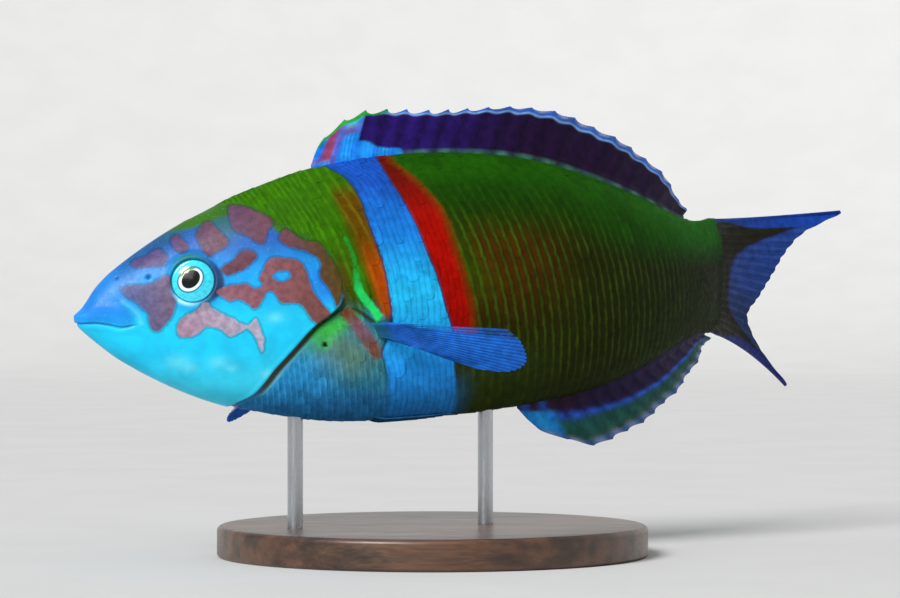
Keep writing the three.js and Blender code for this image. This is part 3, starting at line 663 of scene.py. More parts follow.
def make_mesh(name, points, faces, values=None, sharp_over=None):
    """Mesh object of points in millimetres, with its painted values."""
    mesh = bpy.data.meshes.new(name)
    mesh.from_pydata((points.reshape(-1, 3) * METRES).tolist(), [], [list(map(int, f)) for f in faces])
    for key, value in (values or {}).items():
        coloured = value.shape[-1] == 3 and value.size == points.size
        layer = mesh.attributes.new(key, "FLOAT_COLOR" if coloured else "FLOAT", "POINT")
        if coloured:
            value = np.column_stack([value.reshape(-1, 3), np.ones(value.size // 3)])
        layer.data.foreach_set("color" if coloured else "value", value.ravel().astype(np.float32))
    mesh.shade_smooth()
    if sharp_over:
        mesh.set_sharp_from_angle(angle=math.radians(sharp_over))
    return add_object(name, mesh)


def finish_piece(piece, material, slot, *replaced):
    """Gives a piece its material, hangs it on the fish's root and hides the parts it replaces."""
    piece.data.materials.append(material)
    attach(piece, "root")
    if replaced:
        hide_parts(*replaced)


# Materials
class Material:
    """A material of procedural nodes round a Principled shader."""

    def __init__(self, name, **constants):
        self.data = bpy.data.materials.new(name)
        self.data.use_nodes = True
        self.tree = self.data.node_tree
        self.shader = self.tree.nodes["Principled BSDF"]
        for key, value in constants.items():
            self.shader.inputs[key.replace("_", " ")].default_value = value

    def finish(self, **sources):
        """Links the shader's inputs to their sources and gives the finished material."""
        for key, source in sources.items():
            self.tree.links.new(source, self.shader.inputs[key.replace("_", " ")])
        return self.data

    def node(self, kind, inputs=None, **settings):
        """Adds a node; an input is a number, a vector, a colour or another node's socket."""
        made = self.tree.nodes.new("ShaderNode" + kind)
        for key, value in settings.items():
            setattr(made, key, value)
        for key, value in (inputs or {}).items():
            socket = made.inputs[key]
            if isinstance(value, bpy.types.NodeSocket):
                self.tree.links.new(value, socket)
            else:
                socket.default_value = (*value, 1) if socket.type == "RGBA" else value
        return made

    def attribute(self, name, socket="Fac"):
        return self.node("Attribute", attribute_name=name).outputs[socket]

    def noise(self, size, detail=3.0, stretch=(1, 1, 1)):
        """Noise with features of a size in millimetres, as a value round 0.5."""
        place = self.node("TexCoord").outputs["Object"]
        scaled = self.node("Mapping", {"Vector": place, "Scale": stretch}).outputs[0]
        inputs = {"Vector": scaled, "Scale": 1 / (size * METRES), "Detail": detail}
        return self.node("TexNoise", inputs).outputs["Fac"]

    def maths(self, operation, a, b=0.0, c=0.0):
        return self.node("Math", {0: a, 1: b, 2: c}, operation=operation).outputs[0]

    def wobble(self, size, detail=3.0):
        """Noise round 0."""
        return self.maths("SUBTRACT", self.noise(size, detail), 0.5)

    def ramp(self, value, low, high, to_low=0.0, to_high=1.0):
        """Eased ramp of a value, from to_low at low to to_high at high."""
        inputs = {"Value": value, "From Min": low, "From Max": high, "To Min": to_low, "To Max": to_high}
        return self.node("MapRange", inputs, interpolation_type="SMOOTHSTEP").outputs[0]

    def between(self, value, low, high):
        """A value round 0.5, such as noise, spread from low to high."""
        return self.ramp(value, 0.3, 0.7, low, high)

    def blend(self, amount, under, over, mode="MIX"):
        inputs = {0: amount, 6: under, 7: over}
        return self.node("Mix", inputs, data_type="RGBA", blend_type=mode).outputs[2]

    def darker(self, colour, share):
        return self.node("HueSaturation", {"Value": share, "Color": colour}).outputs[0]

    def tone(self, colour, value, low, high):
        """Colour made darker and lighter by a value round 0.5."""
        grey = self.between(value, low, high)
        shade = self.node("CombineColor", {0: grey, 1: grey, 2: grey}).outputs[0]
        return self.blend(1.0, colour, shade, "MULTIPLY")

    def bump(self, height, depth):
        """Bump whose full height is a depth in millimetres."""
        inputs = {"Height": height, "Strength": 1.0, "Distance": depth * METRES}
        return self.node("Bump", inputs).outputs["Normal"]

    def colour_scale(self, value, stops):
        """Colour that follows a value through (value, colour) stops."""
        scale = self.node("ValToRGB", {"Fac": value})
        elements = scale.color_ramp.elements
        while len(elements) < len(stops):
            elements.new(0.5)
        for element, (at, colour) in zip(elements, stops):
            element.position = at
            element.color = (*colour, 1)
        return scale.outputs["Color"]


def paint_bars(m, colour):
    """Lays the green stripe and the red and blue bars over a colour, with slightly ragged edges."""
    ragged = m.wobble(0.9)
    high = m.attribute("high")
    from_stripe = m.maths("MULTIPLY_ADD", ragged, 0.9, m.attribute("stripe"))
    green = m.blend(m.ramp(high, 0.47, 0.6), BARS["stripe"], BARS["stripe_top"])
    colour = m.blend(m.ramp(from_stripe, 0.5, 1.2, 1, 0), colour, green)
    wander = m.maths("MULTIPLY", m.wobble(3.0, 2), 5.0)
    phase = m.maths("MULTIPLY_ADD", m.attribute("across"), 2 * math.pi / LINE_PITCH, wander)
    wave = m.maths("SINE", phase)
    in_red = m.maths("MULTIPLY_ADD", ragged, 1.4, m.attribute("red"))
    red = m.blend(m.ramp(wave, 0.1, 1.0, 0, 0.5), BARS["red"], BARS["red_dark"])
    red = m.blend(m.ramp(high, 0.66, 0.9), red, BARS["red_top"])
    red = m.blend(m.ramp(in_red, 0.2, 2.2), BARS["red_rim"], red)
    colour = m.blend(m.ramp(in_red, -0.7, 0.8), colour, red)
    in_blue = m.maths("MULTIPLY_ADD", ragged, 0.5, m.attribute("blue"))
    blue = m.colour_scale(high, BLUE_BAR)
    blue = m.blend(m.ramp(wave, 0.2, 1.0, 0, 0.6), blue, m.darker(blue, 0.66))
    firm = m.ramp(high, 0.2, 0.36)
    sharpness = m.maths("MULTIPLY_ADD", firm, 0.86, 0.14)
    amount = m.ramp(m.maths("MULTIPLY", in_blue, sharpness), -0.1, 0.14)
    colour = m.blend(amount, colour, blue)
    from_edge = m.maths("ABSOLUTE", m.maths("ADD", in_blue, 0.12))
    rim = m.maths("MULTIPLY", m.ramp(from_edge, 0.08, 0.4, 0.7, 0), firm)
    return m.blend(rim, colour, BARS["edge"])


def skin_material():
    """Smooth wet skin of the head, each mark outlined in a darker shade of the skin round it."""
    m = Material("skin", Specular_IOR_Level=0.22, Coat_Weight=0.04, Coat_Roughness=0.2)
    depth = m.maths("MULTIPLY_ADD", m.wobble(0.9), 0.7, m.attribute("mark"))
    ground = paint_bars(m, m.attribute("ground", "Color"))
    ground = m.tone(ground, m.noise(4.5, 4), 0.88, 1.1)
    ground = m.blend(m.ramp(m.noise(0.5, 2), 0.6, 0.74, 0, 0.1), ground, HEAD["pale"])
    mark = m.tone(m.attribute("mark_colour", "Color"), m.noise(1.2, 5), 0.8, 1.2)
    colour = m.blend(m.ramp(depth, -0.2, 0.2), ground, mark)
    from_edge = m.maths("ABSOLUTE", m.maths("ADD", depth, 0.14))
    colour = m.blend(m.ramp(from_edge, 0.0, 0.42, 0.55, 0), colour, m.darker(ground, 0.3))
    return m.finish(Base_Color=colour, Roughness=m.between(m.noise(0.8), 0.36, 0.5),
                    Normal=m.bump(m.noise(0.5, 4), 0.035))


def scale_material():
    """Scales with two light lines each, parallel to their free edge."""
    m = Material("scales", Specular_IOR_Level=0.035)
    edge = m.maths("MULTIPLY_ADD", m.wobble(1.3), 0.3, m.attribute("edge"))
    phase = m.maths("FRACT", m.maths("ADD", edge, 0.25))
    from_line = m.maths("ABSOLUTE", m.maths("SUBTRACT", phase, 0.5))
    strength = m.ramp(m.noise(4, 2), 0.35, 0.65, 0.35, 0.85)
    line = m.maths("MULTIPLY", m.ramp(from_line, 0.04, 0.26, 1, 0), strength)
    colour = m.blend(line, m.attribute("ground", "Color"), m.attribute("line", "Color"))
    colour = m.tone(paint_bars(m, colour), m.attribute("tint"), 0.84, 1.16)
    colour = m.tone(colour, m.noise(1.5, 5), 0.86, 1.12)
    growth_rings = m.maths("SINE", m.maths("MULTIPLY", edge, 50.0))
    fine = m.maths("MULTIPLY_ADD", growth_rings, 0.2, m.noise(0.4, 3))
    return m.finish(Base_Color=colour, Roughness=m.between(m.noise(1.1), 0.48, 0.64),
                    Normal=m.bump(fine, 0.012))


def fin_material():
    """Fin membrane with its rays, clear where the painted value says so."""
    m = Material("fin", Specular_IOR_Level=0.06)
    streak = m.noise(0.7, 4)
    amount = m.maths("MULTIPLY", m.attribute("ray"), m.between(streak, 0.55, 1))
    colour = m.blend(amount, m.attribute("ground", "Color"), m.attribute("line", "Color"))
    colour = m.tone(colour, m.noise(1.6, 5), 0.8, 1.2)
    return m.finish(Base_Color=colour, Alpha=m.attribute("solid"), Normal=m.bump(streak, 0.04),
                    Roughness=m.between(m.noise(1.5), 0.36, 0.52))


# Body skin
SKIN_SIDES = 352
HEAD_STATIONS = 150
TRUNK_STATIONS = 96
SKIN_END = 1.04
EDGE_OFFSETS = [-1.6, -1.1, -0.7, -0.4, -0.18, 0.0, 0.03, 0.2, 0.5, 0.9, 1.4, 2.0]


def even_angles(count):
    """Angles that share out the girth of the head evenly, from the back down the left side."""
    fine = np.linspace(0, 2 * np.pi, 4001)
    _, y, z = section(np.full_like(fine, 0.18), fine)
    girth = np.concatenate([[0], np.cumsum(np.hypot(np.diff(y), np.diff(z)))])
    return np.interp(np.arange(count) / count * girth[-1], girth, fine)


def edge_along(angle):
    """Where the gill opening's edge crosses each line along the body."""
    low, high = np.full_like(angle, 0.1), np.full_like(angle, 0.4)
    for _ in range(40):
        middle = (low + high) / 2
        before = behind_gill(middle, height_at(middle, angle)) < 0
        low, high = np.where(before, middle, low), np.where(before, high, middle)
    return low


def skin_grid():
    """Stations and angles of the skin: its columns follow the gill opening's edge."""
    angle = even_angles(SKIN_SIDES)
    edge = edge_along(angle)
    offsets = np.array(EDGE_OFFSETS) / LENGTH
    ahead = np.linspace(0, 1, HEAD_STATIONS) ** 1.15
    behind = np.linspace(0, 1, TRUNK_STATIONS)[1:]
    head = ahead[:, None] * (edge + offsets[0])[None, :]
    rim = edge[None, :] + offsets[1:, None]
    trunk = lerp((edge + offsets[-1])[None, :], SKIN_END, behind[:, None])
    share = np.vstack([head, rim, trunk])
    return share, np.broadcast_to(angle, share.shape)


def mouth_lift(share, up):
    """The broad upper lip, the thin lower one, and the closed mouth's groove between them."""
    lip = lip_depth(share, up)
    fold = distance_from(share, up, LIP_FOLD)
    line = (up - curve(MOUTH_LINE, share)) * LENGTH
    in_mouth = smooth(0.078, 0.06, share)
    upper = 0.18 * smooth(-0.3, 1.4, lip)
    lower = 0.14 * hump(line + 0.8, 0.6)
    groove = -0.3 * hump(line, 0.2)
    return upper + 0.12 * hump(fold, 0.6) + in_mouth * (lower * smooth(0.0, 0.02, share) + groove)


def gill_lift(share, up):
    """Rolled edge of the gill cover and the dark opening behind it."""
    behind = behind_gill(share, up)
    open_here = smooth(0.004, -0.02, up) * smooth(-0.126, -0.104, up)
    roll = 0.12 * hump(behind + 0.75, 0.45) * (behind <= 0)
    lip = -0.25 * smooth(-0.22, 0.0, behind) * (behind <= 0.01)
    slit = -0.8 * (behind > 0.01) * smooth(1.6, 0.6, behind)
    return open_here * (roll + lip + slit)


def paint_slit(share, up, ground):
    """Paints the opening behind the gill cover, with painted shade just under the cover's edge and a
    painted highlight, a pale line, behind its lower part.
    """
    behind = behind_gill(share, up)
    open_here = smooth(0.002, -0.012, up) * smooth(-0.122, -0.1, up)
    # Painted highlight: a pale line on the breast just behind the lower part of the opening.
    pale = open_here * hump(behind - 1.75, 0.4) * smooth(-0.04, -0.055, up)
    # The membrane's darkest band, right under the cover's edge, is painted shade.
    membrane = coats(TRUNK["slit_top"], TRUNK, ("slit_low", smooth(-0.03, -0.06, up)),
                     ("slit_dark", smooth(0.45, 0.1, behind)))
    slit = open_here * smooth(0.0, 0.03, behind) * smooth(1.35, 0.95, behind)
    return coats(ground, TRUNK, ("slit_pale", 0.8 * pale), (membrane, slit))


def skin_lift(share, up):
    """How far the skin stands off the plain body, in millimetres."""
    coat = -COAT_DEPTH * smooth(-0.6, 0.8, scaled_depth(share, up))
    lift = coat + mouth_lift(share, up) + gill_lift(share, up)
    for nostril in NOSTRILS:
        lift -= 0.35 * spot(share, up, *nostril)
    return lift


def eye_seat(side):
    """Centre of the eye on the skin, and its axes along, up and out."""
    angle = -side * flank_angle(EYE_ALONG, EYE_UP)
    centre, out = surface(EYE_ALONG, angle, 0.0)
    behind, _ = surface(EYE_ALONG + 0.01, angle, 0.0)
    along = behind - centre
    along = unit(along - out * np.dot(along, out))
    return centre, along, unit(np.cross(out, along) * -side), out


def seat_eyes(points):
    """Sinks the skin under each eye and raises the rim of skin round it."""
    for side in SIDES.values():
        centre, along, up, out = eye_seat(side)
        away = points - centre
        height = away @ out
        far = np.hypot(away @ along, away @ up)
        rim = 0.3 * hump(far - 4.55, 0.42) - 2.2 * smooth(4.35, 3.3, far)
        held = smooth(6.3, 4.7, far) * (height > -6)
        points = points + out * ((rim - height) * held)[..., None]
    return points


def skin_piece():
    """One skin for the whole body."""
    share, angle = skin_grid()
    up = height_at(share, angle)
    points, _ = surface(share, angle, skin_lift(share, up))
    points = seat_eyes(points)
    values = markings(share, up)
    values["ground"] = paint_slit(share, up, values["ground"])
    mark, values["mark_colour"] = head_marks(share, up)
    past_gill = (behind_gill(share, up) > 0.01) & (up < -0.006)
    values["mark"] = np.where(past_gill, OUTSIDE, mark)
    ends = np.stack([points[0].mean(0), points[-1].mean(0)])
    painted = {}
    for key, value in values.items():
        flat = value.reshape(share.size, -1)
        painted[key] = np.vstack([flat, flat[:1], flat[-1:]])
    faces = [face[::-1] for face in closed_faces(*share.shape)]
    piece = make_mesh("skin", np.vstack([points.reshape(-1, 3), ends]), faces, painted)
    finish_piece(piece, skin_material(), "head_skin", "head", "upper_lip", "lower_jaw",
                 "gill_cover_left", "gill_cover_right", "trunk", "tail_stalk")


# Scales: sizes in millimetres, pitch of the rows as (along, size), lean of the columns as (up, along)
SCALE_PITCH = 4.0
SCALE_LENGTH = 6.6
SCALE_ROWS = 10
SCALE_LAST = 1.06
SCALE_LIFT = 0.2
SMALL_SCALE = 0.55
ROW_PITCH = [(0.15, 3.2), (0.35, 3.7), (0.6, 3.6), (0.8, 3.1), (1.0, 2.5)]
SCALE_LEAN = [
    (-0.16, 0.012), (-0.05, 0), (0.01, -0.01), (0.05, -0.02), (0.09, -0.032), (0.12, -0.045),
    (0.15, -0.058), (0.17, -0.062),
]
OVERLAP = 0.7
GRID_ALONG = 12
GRID_ACROSS = 10
SCALE_THICK = 0.4

# Bake map: size of a scale's patch, and the share of the length where the unrolled skin ends
BAKE_PATCH = 0.003
UNROLLED_TO = 1.1


def girth_table():
    """Angles at distances round the body from the middle of the left flank, upwards positive."""
    shares = np.linspace(0.1, 1.08, 99)
    angles = np.linspace(-np.pi / 2, 1.5 * np.pi, 721)
    reach = np.linspace(-48, 48, 385)
    rows = []
    for share in shares:
        _, y, z = section(np.full_like(angles, share), angles)
        girth = np.concatenate([[0], np.cumsum(np.hypot(np.diff(y), np.diff(z)))])
        from_flank = np.interp(np.pi / 2, angles, girth) - girth
        rows.append(np.interp(reach, from_flank[::-1], angles[::-1]))
    return shares, reach, np.array(rows)


GIRTH = girth_table()


def angle_round(share, reach):
    """The left side's angle at a distance round the body from the middle of its flank."""
    shares, reaches, angles = GIRTH
    i = np.clip((share - shares[0]) / (shares[1] - shares[0]), 0, len(shares) - 1.001)
    j = np.clip((reach - reaches[0]) / (reaches[1] - reaches[0]), 0, len(reaches) - 1.001)
    i0, j0 = i.astype(int), j.astype(int)
    u, v = i - i0, j - j0
    near = angles[i0, j0] * (1 - v) + angles[i0, j0 + 1] * v
    far = angles[i0 + 1, j0] * (1 - v) + angles[i0 + 1, j0 + 1] * v
    return near * (1 - u) + far * u


def flank_place(column, row):
    """Share and angle of places given by their column in millimetres and their row of scales."""
    share = column / LENGTH
    for _ in range(4):
        angle = angle_round(share, row * curve(ROW_PITCH, share))
        share = column / LENGTH + curve(SCALE_LEAN, height_at(share, angle))
    return share, angle_round(share, row * curve(ROW_PITCH, share))


def scale_centres(size):
    """Column and row of the middle of each scale's free edge, on one side, for scales of one size."""
    pitch = SCALE_PITCH * size
    last_row = int(SCALE_ROWS / size)
    columns, rows = [], []
    for row in range(-last_row, last_row + 1):
        for k in range(int(1.12 * LENGTH / pitch)):
            columns.append((k + 0.5 * (row % 2)) * pitch)
            rows.append(row * size)
    columns, rows = np.array(columns), np.array(rows)
    share, angle = flank_place(columns, rows)
    up = height_at(share, angle)
    small = (curve(SMALL_UNTIL, up) - share) * LENGTH
    kept = (angle > -0.03) & (angle < np.pi + 0.03) & (share < SCALE_LAST)
    kept &= small > 0 if size < 1 else small < pitch / 2
    kept &= scaled_depth(share, up) > 0.6
    kept &= (behind_gill(share, up) > 2.0 + 2 * size) | (up > 0)
    return columns[kept], rows[kept]


def scale_outline(size):
    """Places on a scale: along, across, the bow of its free edge, and millimetres ahead of it."""
    along, across = (GRID_ALONG, GRID_ACROSS) if size == 1 else (GRID_ALONG - 4, GRID_ACROSS - 2)
    u = np.append(np.linspace(0, 1, along + 1), 1.0)[:, None]
    v = np.linspace(-1, 1, across + 1)[None, :]
    bow = (0.5 * v**2 + 0.6 * v**8) * size
    ahead = SCALE_LENGTH * size * (1 - u)
    return np.broadcast_arrays(u, v, bow, ahead)


def scale_lift(share, up, size, tilt, u, v):
    """How far each point of the scales stands off the plain body, in millimetres."""
    turned_down = np.zeros((len(u), 1))
    turned_down[-1] = SCALE_THICK
    lift = 0.02 + (SCALE_LIFT * size + tilt) * u**1.2 - 0.04 * v**2 - turned_down
    hidden = smooth(2.0, 1.3, behind_gill(share, up)) * smooth(0.02, -0.01, up)
    deepest = 0.5 * curve(HALF_WIDTH, share) * LENGTH - 0.1
    return np.maximum(lift - COAT_DEPTH - 0.9 * hidden, -deepest)


def scales_piece(name, side, size, material):
    """All the scales of one size on one side as one mesh."""
    columns, rows = (places[:, None, None] for places in scale_centres(size))
    count = len(columns)
    u, v, bow, ahead = scale_outline(size)
    shift = random.normal(0, 0.06 * size, (count, 1, 1))
    tilt = random.normal(0, 0.02, (count, 1, 1))
    column = columns + shift - ahead - bow * (0.4 + 0.6 * u)
    share, angle = flank_place(column, rows + v * OVERLAP * size)
    up = height_at(share, angle)
    points, _ = surface(share, -side * angle, scale_lift(share, up, size, tilt, u, v))
    painted = markings(share, up)
    painted["edge"] = (columns - column - 0.25 * bow) / (SCALE_PITCH * size / 2)
    painted["tint"] = np.broadcast_to(0.5 + random.normal(0, 0.07, (count, 1, 1)), share.shape)
    faces = (grid_faces(*u.shape) + (np.arange(count) * u.size)[:, None, None]).reshape(-1, 4)
    if side < 0:
        faces = faces[:, ::-1]
    piece = make_mesh(name, points, faces, painted, sharp_over=38)
    add_bake_map(piece, share, angle * -side, u, v)
    finish_piece(piece, material, "body_skin")


def add_bake_map(piece, share, angle, u, v):
    """Lays each scale as a small patch at its root's place on the skin unrolled."""
    middle = u.shape[1] // 2
    root = (slice(None), slice(0, 1), slice(middle, middle + 1))
    across = share[root] / UNROLLED_TO + (u - 0.5) * BAKE_PATCH
    around = angle[root] / (2 * np.pi) % 1.0 + v / 2 * BAKE_PATCH
    flat = np.stack([across, around], -1).reshape(-1, 2)
    corners = np.empty(len(piece.data.loops), np.int32)
    piece.data.loops.foreach_get("vertex_index", corners)
    layer = piece.data.uv_layers.new(name="OFBake")
    layer.data.foreach_set("uv", flat[corners].ravel().astype(np.float32))


# Eyes
EYE = palette(
    iris=(56, 214, 238), fleck=(20, 160, 220), rim=(24, 110, 136), shade=(20, 104, 140),
    ring=(226, 244, 240), gold=(120, 150, 50), pupil=(6, 8, 10),
)
EYE_RINGS = 64
EYE_SPOKES = 96


def eye_piece(name, side, material, replaced):
    """Domed eye: the iris with its ring and the pupil, under one glossy surface."""
    centre, along, up, out = eye_seat(side)
    outer = EYE_RADIUS * 1.04
    share = (np.arange(1, EYE_RINGS + 1) / EYE_RINGS)[:, None]
    turn = circle(EYE_SPOKES)
    radius = outer * np.sin(share * np.pi / 2)
    bulge = -0.5 + 1.5 * np.sqrt(np.maximum(1 - (radius / outer) ** 2, 0))
    iris_step = 0.1 * (smooth(3.5, 3.9, radius) - smooth(2.15, 2.45, radius))
    across, high = radius * np.cos(turn), radius * np.sin(turn)
    height = np.broadcast_to(bulge + iris_step, across.shape)
    points = centre + across[..., None] * along + high[..., None] * up + height[..., None] * out
    every = np.vstack([points.reshape(-1, 3), centre + out])
    tip = fan(across.size, np.arange(EYE_SPOKES)[::-1])
    faces = grid_faces(EYE_RINGS, EYE_SPOKES, closed=True).tolist() + tip
    if side > 0:
        faces = [face[::-1] for face in faces]
    painted = {"across": np.append(across, 0.0)[:, None], "high": np.append(high, 0.0)[:, None]}
    finish_piece(make_mesh(name, every, faces, painted), material, "eye", replaced)


def from_ellipse(m, across, high, wide, tall, tilt=0.0):
    """Distance from the middle of a leaning ellipse on the eye, 1 on its edge."""
    x = m.maths("SUBTRACT", m.attribute("across"), across)
    y = m.maths("SUBTRACT", m.attribute("high"), high)
    cos, sin = math.cos(math.radians(tilt)), math.sin(math.radians(tilt))
    along = m.maths("MULTIPLY_ADD", x, cos / wide, m.maths("MULTIPLY", y, sin / wide))
    aside = m.maths("MULTIPLY_ADD", y, cos / tall, m.maths("MULTIPLY", x, -sin / tall))
    squares = m.maths("ADD", m.maths("POWER", along, 2.0), m.maths("POWER", aside, 2.0))
    return m.maths("SQRT", squares)


def eye_material():
    """Cyan iris, a pale gold-edged ring and a black pupil drawn out low in front."""
    m = Material("eye", Roughness=0.15, Specular_IOR_Level=0.4, Coat_Weight=0.5, Coat_Roughness=0.04)
    rim = from_ellipse(m, 0, 0, EYE_RADIUS, EYE_RADIUS)
    ring = from_ellipse(m, -0.33, 0.27, 2.42, 2.02, 32)
    pupil = from_ellipse(m, -0.27, 0.27, 1.92, 1.52, 32)
    upward = m.maths("MULTIPLY_ADD", m.attribute("across"), -0.3, m.attribute("high"))
    iris = m.tone(EYE["iris"], m.noise(0.5, 5), 0.86, 1.12)
    iris = m.blend(m.ramp(m.noise(0.9, 2), 0.55, 0.75, 0, 0.35), iris, EYE["fleck"])
    iris = m.blend(m.ramp(rim, 0.94, 1.0), iris, EYE["rim"])
    iris = m.blend(m.ramp(ring, 1.22, 1.08), iris, EYE["shade"])
    pale = m.blend(m.ramp(upward, 1.5, 2.1), EYE["ring"], EYE["gold"])
    colour = m.blend(m.ramp(ring, 1.06, 1.0), iris, pale)
    colour = m.blend(m.ramp(pupil, 1.05, 0.98), colour, EYE["pupil"])
    return m.finish(Base_Color=colour)


# Fins: columns for each ray, reach past the outer rays in rays, and the membrane in millimetres
FIN_FINE = 10
FIN_EDGE = 0.3
MEMBRANE = 0.3


def ray_lines(rays):
    """Columns across a fin in ray numbers, and how far each is from a ray: 0 on it, 0.5 between."""
    count = int((rays - 1 + 2 * FIN_EDGE) * FIN_FINE) + 1
    number = np.linspace(-FIN_EDGE, rays - 1 + FIN_EDGE, count)
    away = np.abs(number - np.round(np.clip(number, 0, rays - 1)))
    return number, away[:, None]


def across_fin(number, rays):
    """How far across a paired fin its columns are, from 0 to 1."""
    return ((number + FIN_EDGE) / (rays - 1 + 2 * FIN_EDGE))[:, None]


def fin_sheet(name, middle, thickness, painted, material, *replaced):
    """Closed sheet round a grid of middle points, rays along its second axis."""
    normal = unit(np.cross(np.gradient(middle, axis=0), np.gradient(middle, axis=1)))
    half = normal * thickness[..., None] / 2
    rows, columns = thickness.shape
    points = np.concatenate([(middle + half).reshape(-1, 3), (middle - half).reshape(-1, 3)])
    front = grid_faces(rows, columns)
    back = front[:, ::-1] + rows * columns
    index = np.arange(rows * columns).reshape(rows, columns)
    rim = np.concatenate([index[:, 0], index[-1, 1:], index[-2::-1, -1], index[0, -2:0:-1]])
    after = np.roll(rim, -1)
    side = np.stack([rim, rim + rows * columns, after + rows * columns, after], -1)
    doubled = {}
    for key, value in painted.items():
        flat = np.broadcast_to(value, thickness.shape + value.shape[2:]).reshape(rows * columns, -1)
        doubled[key] = np.vstack([flat, flat])
    piece = make_mesh(name, points, np.vstack([front, back, side]), doubled, sharp_over=60)
    piece.data.flip_normals()
    finish_piece(piece, material, "fin", *replaced)


def ray_thickness(away, out, root, ray, tip):
    """Thickness of a fin: rays stand out of the membrane, and both thin out to the margin."""
    skin = lerp(root, MEMBRANE, smooth(0, 0.22, out)) * lerp(1, 0.45, smooth(0.7, 1, out))
    return np.maximum(skin, lerp(skin, lerp(ray, tip, out), hump(away, 0.2)))


def median_fin(keys, side, rays, number, columns):
    """Middle points of the dorsal (side 1) or anal (side -1) fin, and their places on it."""
    out = np.linspace(0, 1, columns)[None, :]
    base = np.interp(number, np.arange(len(rays)), rays)[:, None]
    base = base + (number - np.clip(number, 0, len(rays) - 1))[:, None] * (rays[1] - rays[0])
    edge = BACK if side > 0 else BELLY
    tip = base + curve(keys["sweep"], base)
    height = curve(keys["height"], tip) + side * (curve(edge, tip) - curve(edge, base)) * LENGTH
    dip = np.sin(np.pi * np.mod(number, 1) ** 0.75)[:, None]
    notch = 1 - keys["notch"] * dip * lerp(1, 0.5, smooth(0.45, 0.55, base))
    reach = out * notch
    share = lerp(base, tip, reach * (0.75 + 0.25 * reach))
    wave = 0.35 * np.sin(number * 2.1)[:, None] * reach**2
    sunk = 1.2 * (1 - smooth(0, 0.08, reach))
    z = curve(edge, base) * LENGTH + side * (height * reach - sunk)
    return bend(share * LENGTH, wave, z), base, share, reach


# Fins of the back and belly: sweep as (along, share of the length), height as (along, millimetres)
DORSAL = {
    "spines": [0.312, 0.336, 0.36, 0.386, 0.411, 0.437, 0.463, 0.489],
    "soft": (0.515, 0.888, 13), "notch": 0.1,
    "light": [(0.355, 0.36), (0.372, 0.33), (0.386, 0.2), (0.402, 0.13), (0.418, 0.1), (0.43, -0.1)],
    "sweep": [(0.308, 0.012), (0.37, 0.02), (0.6, 0.034), (0.78, 0.045), (0.86, 0.03), (0.893, 0.012)],
    "height": [
        (0.308, 1.5), (0.318, 4), (0.33, 5.6), (0.35, 7.6), (0.375, 8.9), (0.41, 8.7), (0.47, 8.1),
        (0.53, 8.8), (0.6, 10.2), (0.66, 10.9), (0.71, 10.4), (0.77, 9.5), (0.81, 8.5),
        (0.84, 7.3), (0.87, 5.4), (0.9, 2.2), (0.92, 1.2),
    ],
}
ANAL = {
    "rays": (0.572, 0.958, 15), "notch": 0.08,
    "sweep": [(0.567, 0.024), (0.65, 0.072), (0.75, 0.085), (0.84, 0.08), (0.9, 0.06), (0.958, 0.03)],
    "height": [
        (0.567, 1.2), (0.605, 6), (0.65, 8.8), (0.69, 11.2), (0.74, 11.5), (0.8, 11.3),
        (0.87, 10.0), (0.91, 8.3), (0.94, 6.2), (0.965, 3.2), (0.99, 1.0),
    ],
}
FIN = palette(
    navy=(42, 22, 104), plum=(34, 15, 50), ray_dark=(20, 9, 36), sky=(36, 164, 240),
    azure=(24, 104, 216), cyan=(50, 200, 216), rose=(150, 62, 92), mauve=(112, 84, 160),
    rim_green=(44, 150, 60), rim_blue=(40, 92, 186), rim_pale=(130, 176, 232), crest=(92, 170, 140),
    leaf=(30, 84, 76), leaf_dark=(18, 56, 56), anal_purple=(36, 24, 62), violet=(44, 92, 206),
    olive=(28, 28, 8), stalk=(22, 34, 8), tail_blue=(30, 66, 146), tail_low=(26, 54, 108),
    tail_top=(20, 60, 150), tail_margin=(30, 42, 124), tail_ray=(20, 40, 84), pectoral=(36, 112, 218),
    pectoral_ray=(18, 56, 116), maroon=(48, 22, 40), pale=(44, 108, 160), pelvic=(26, 74, 112),
)


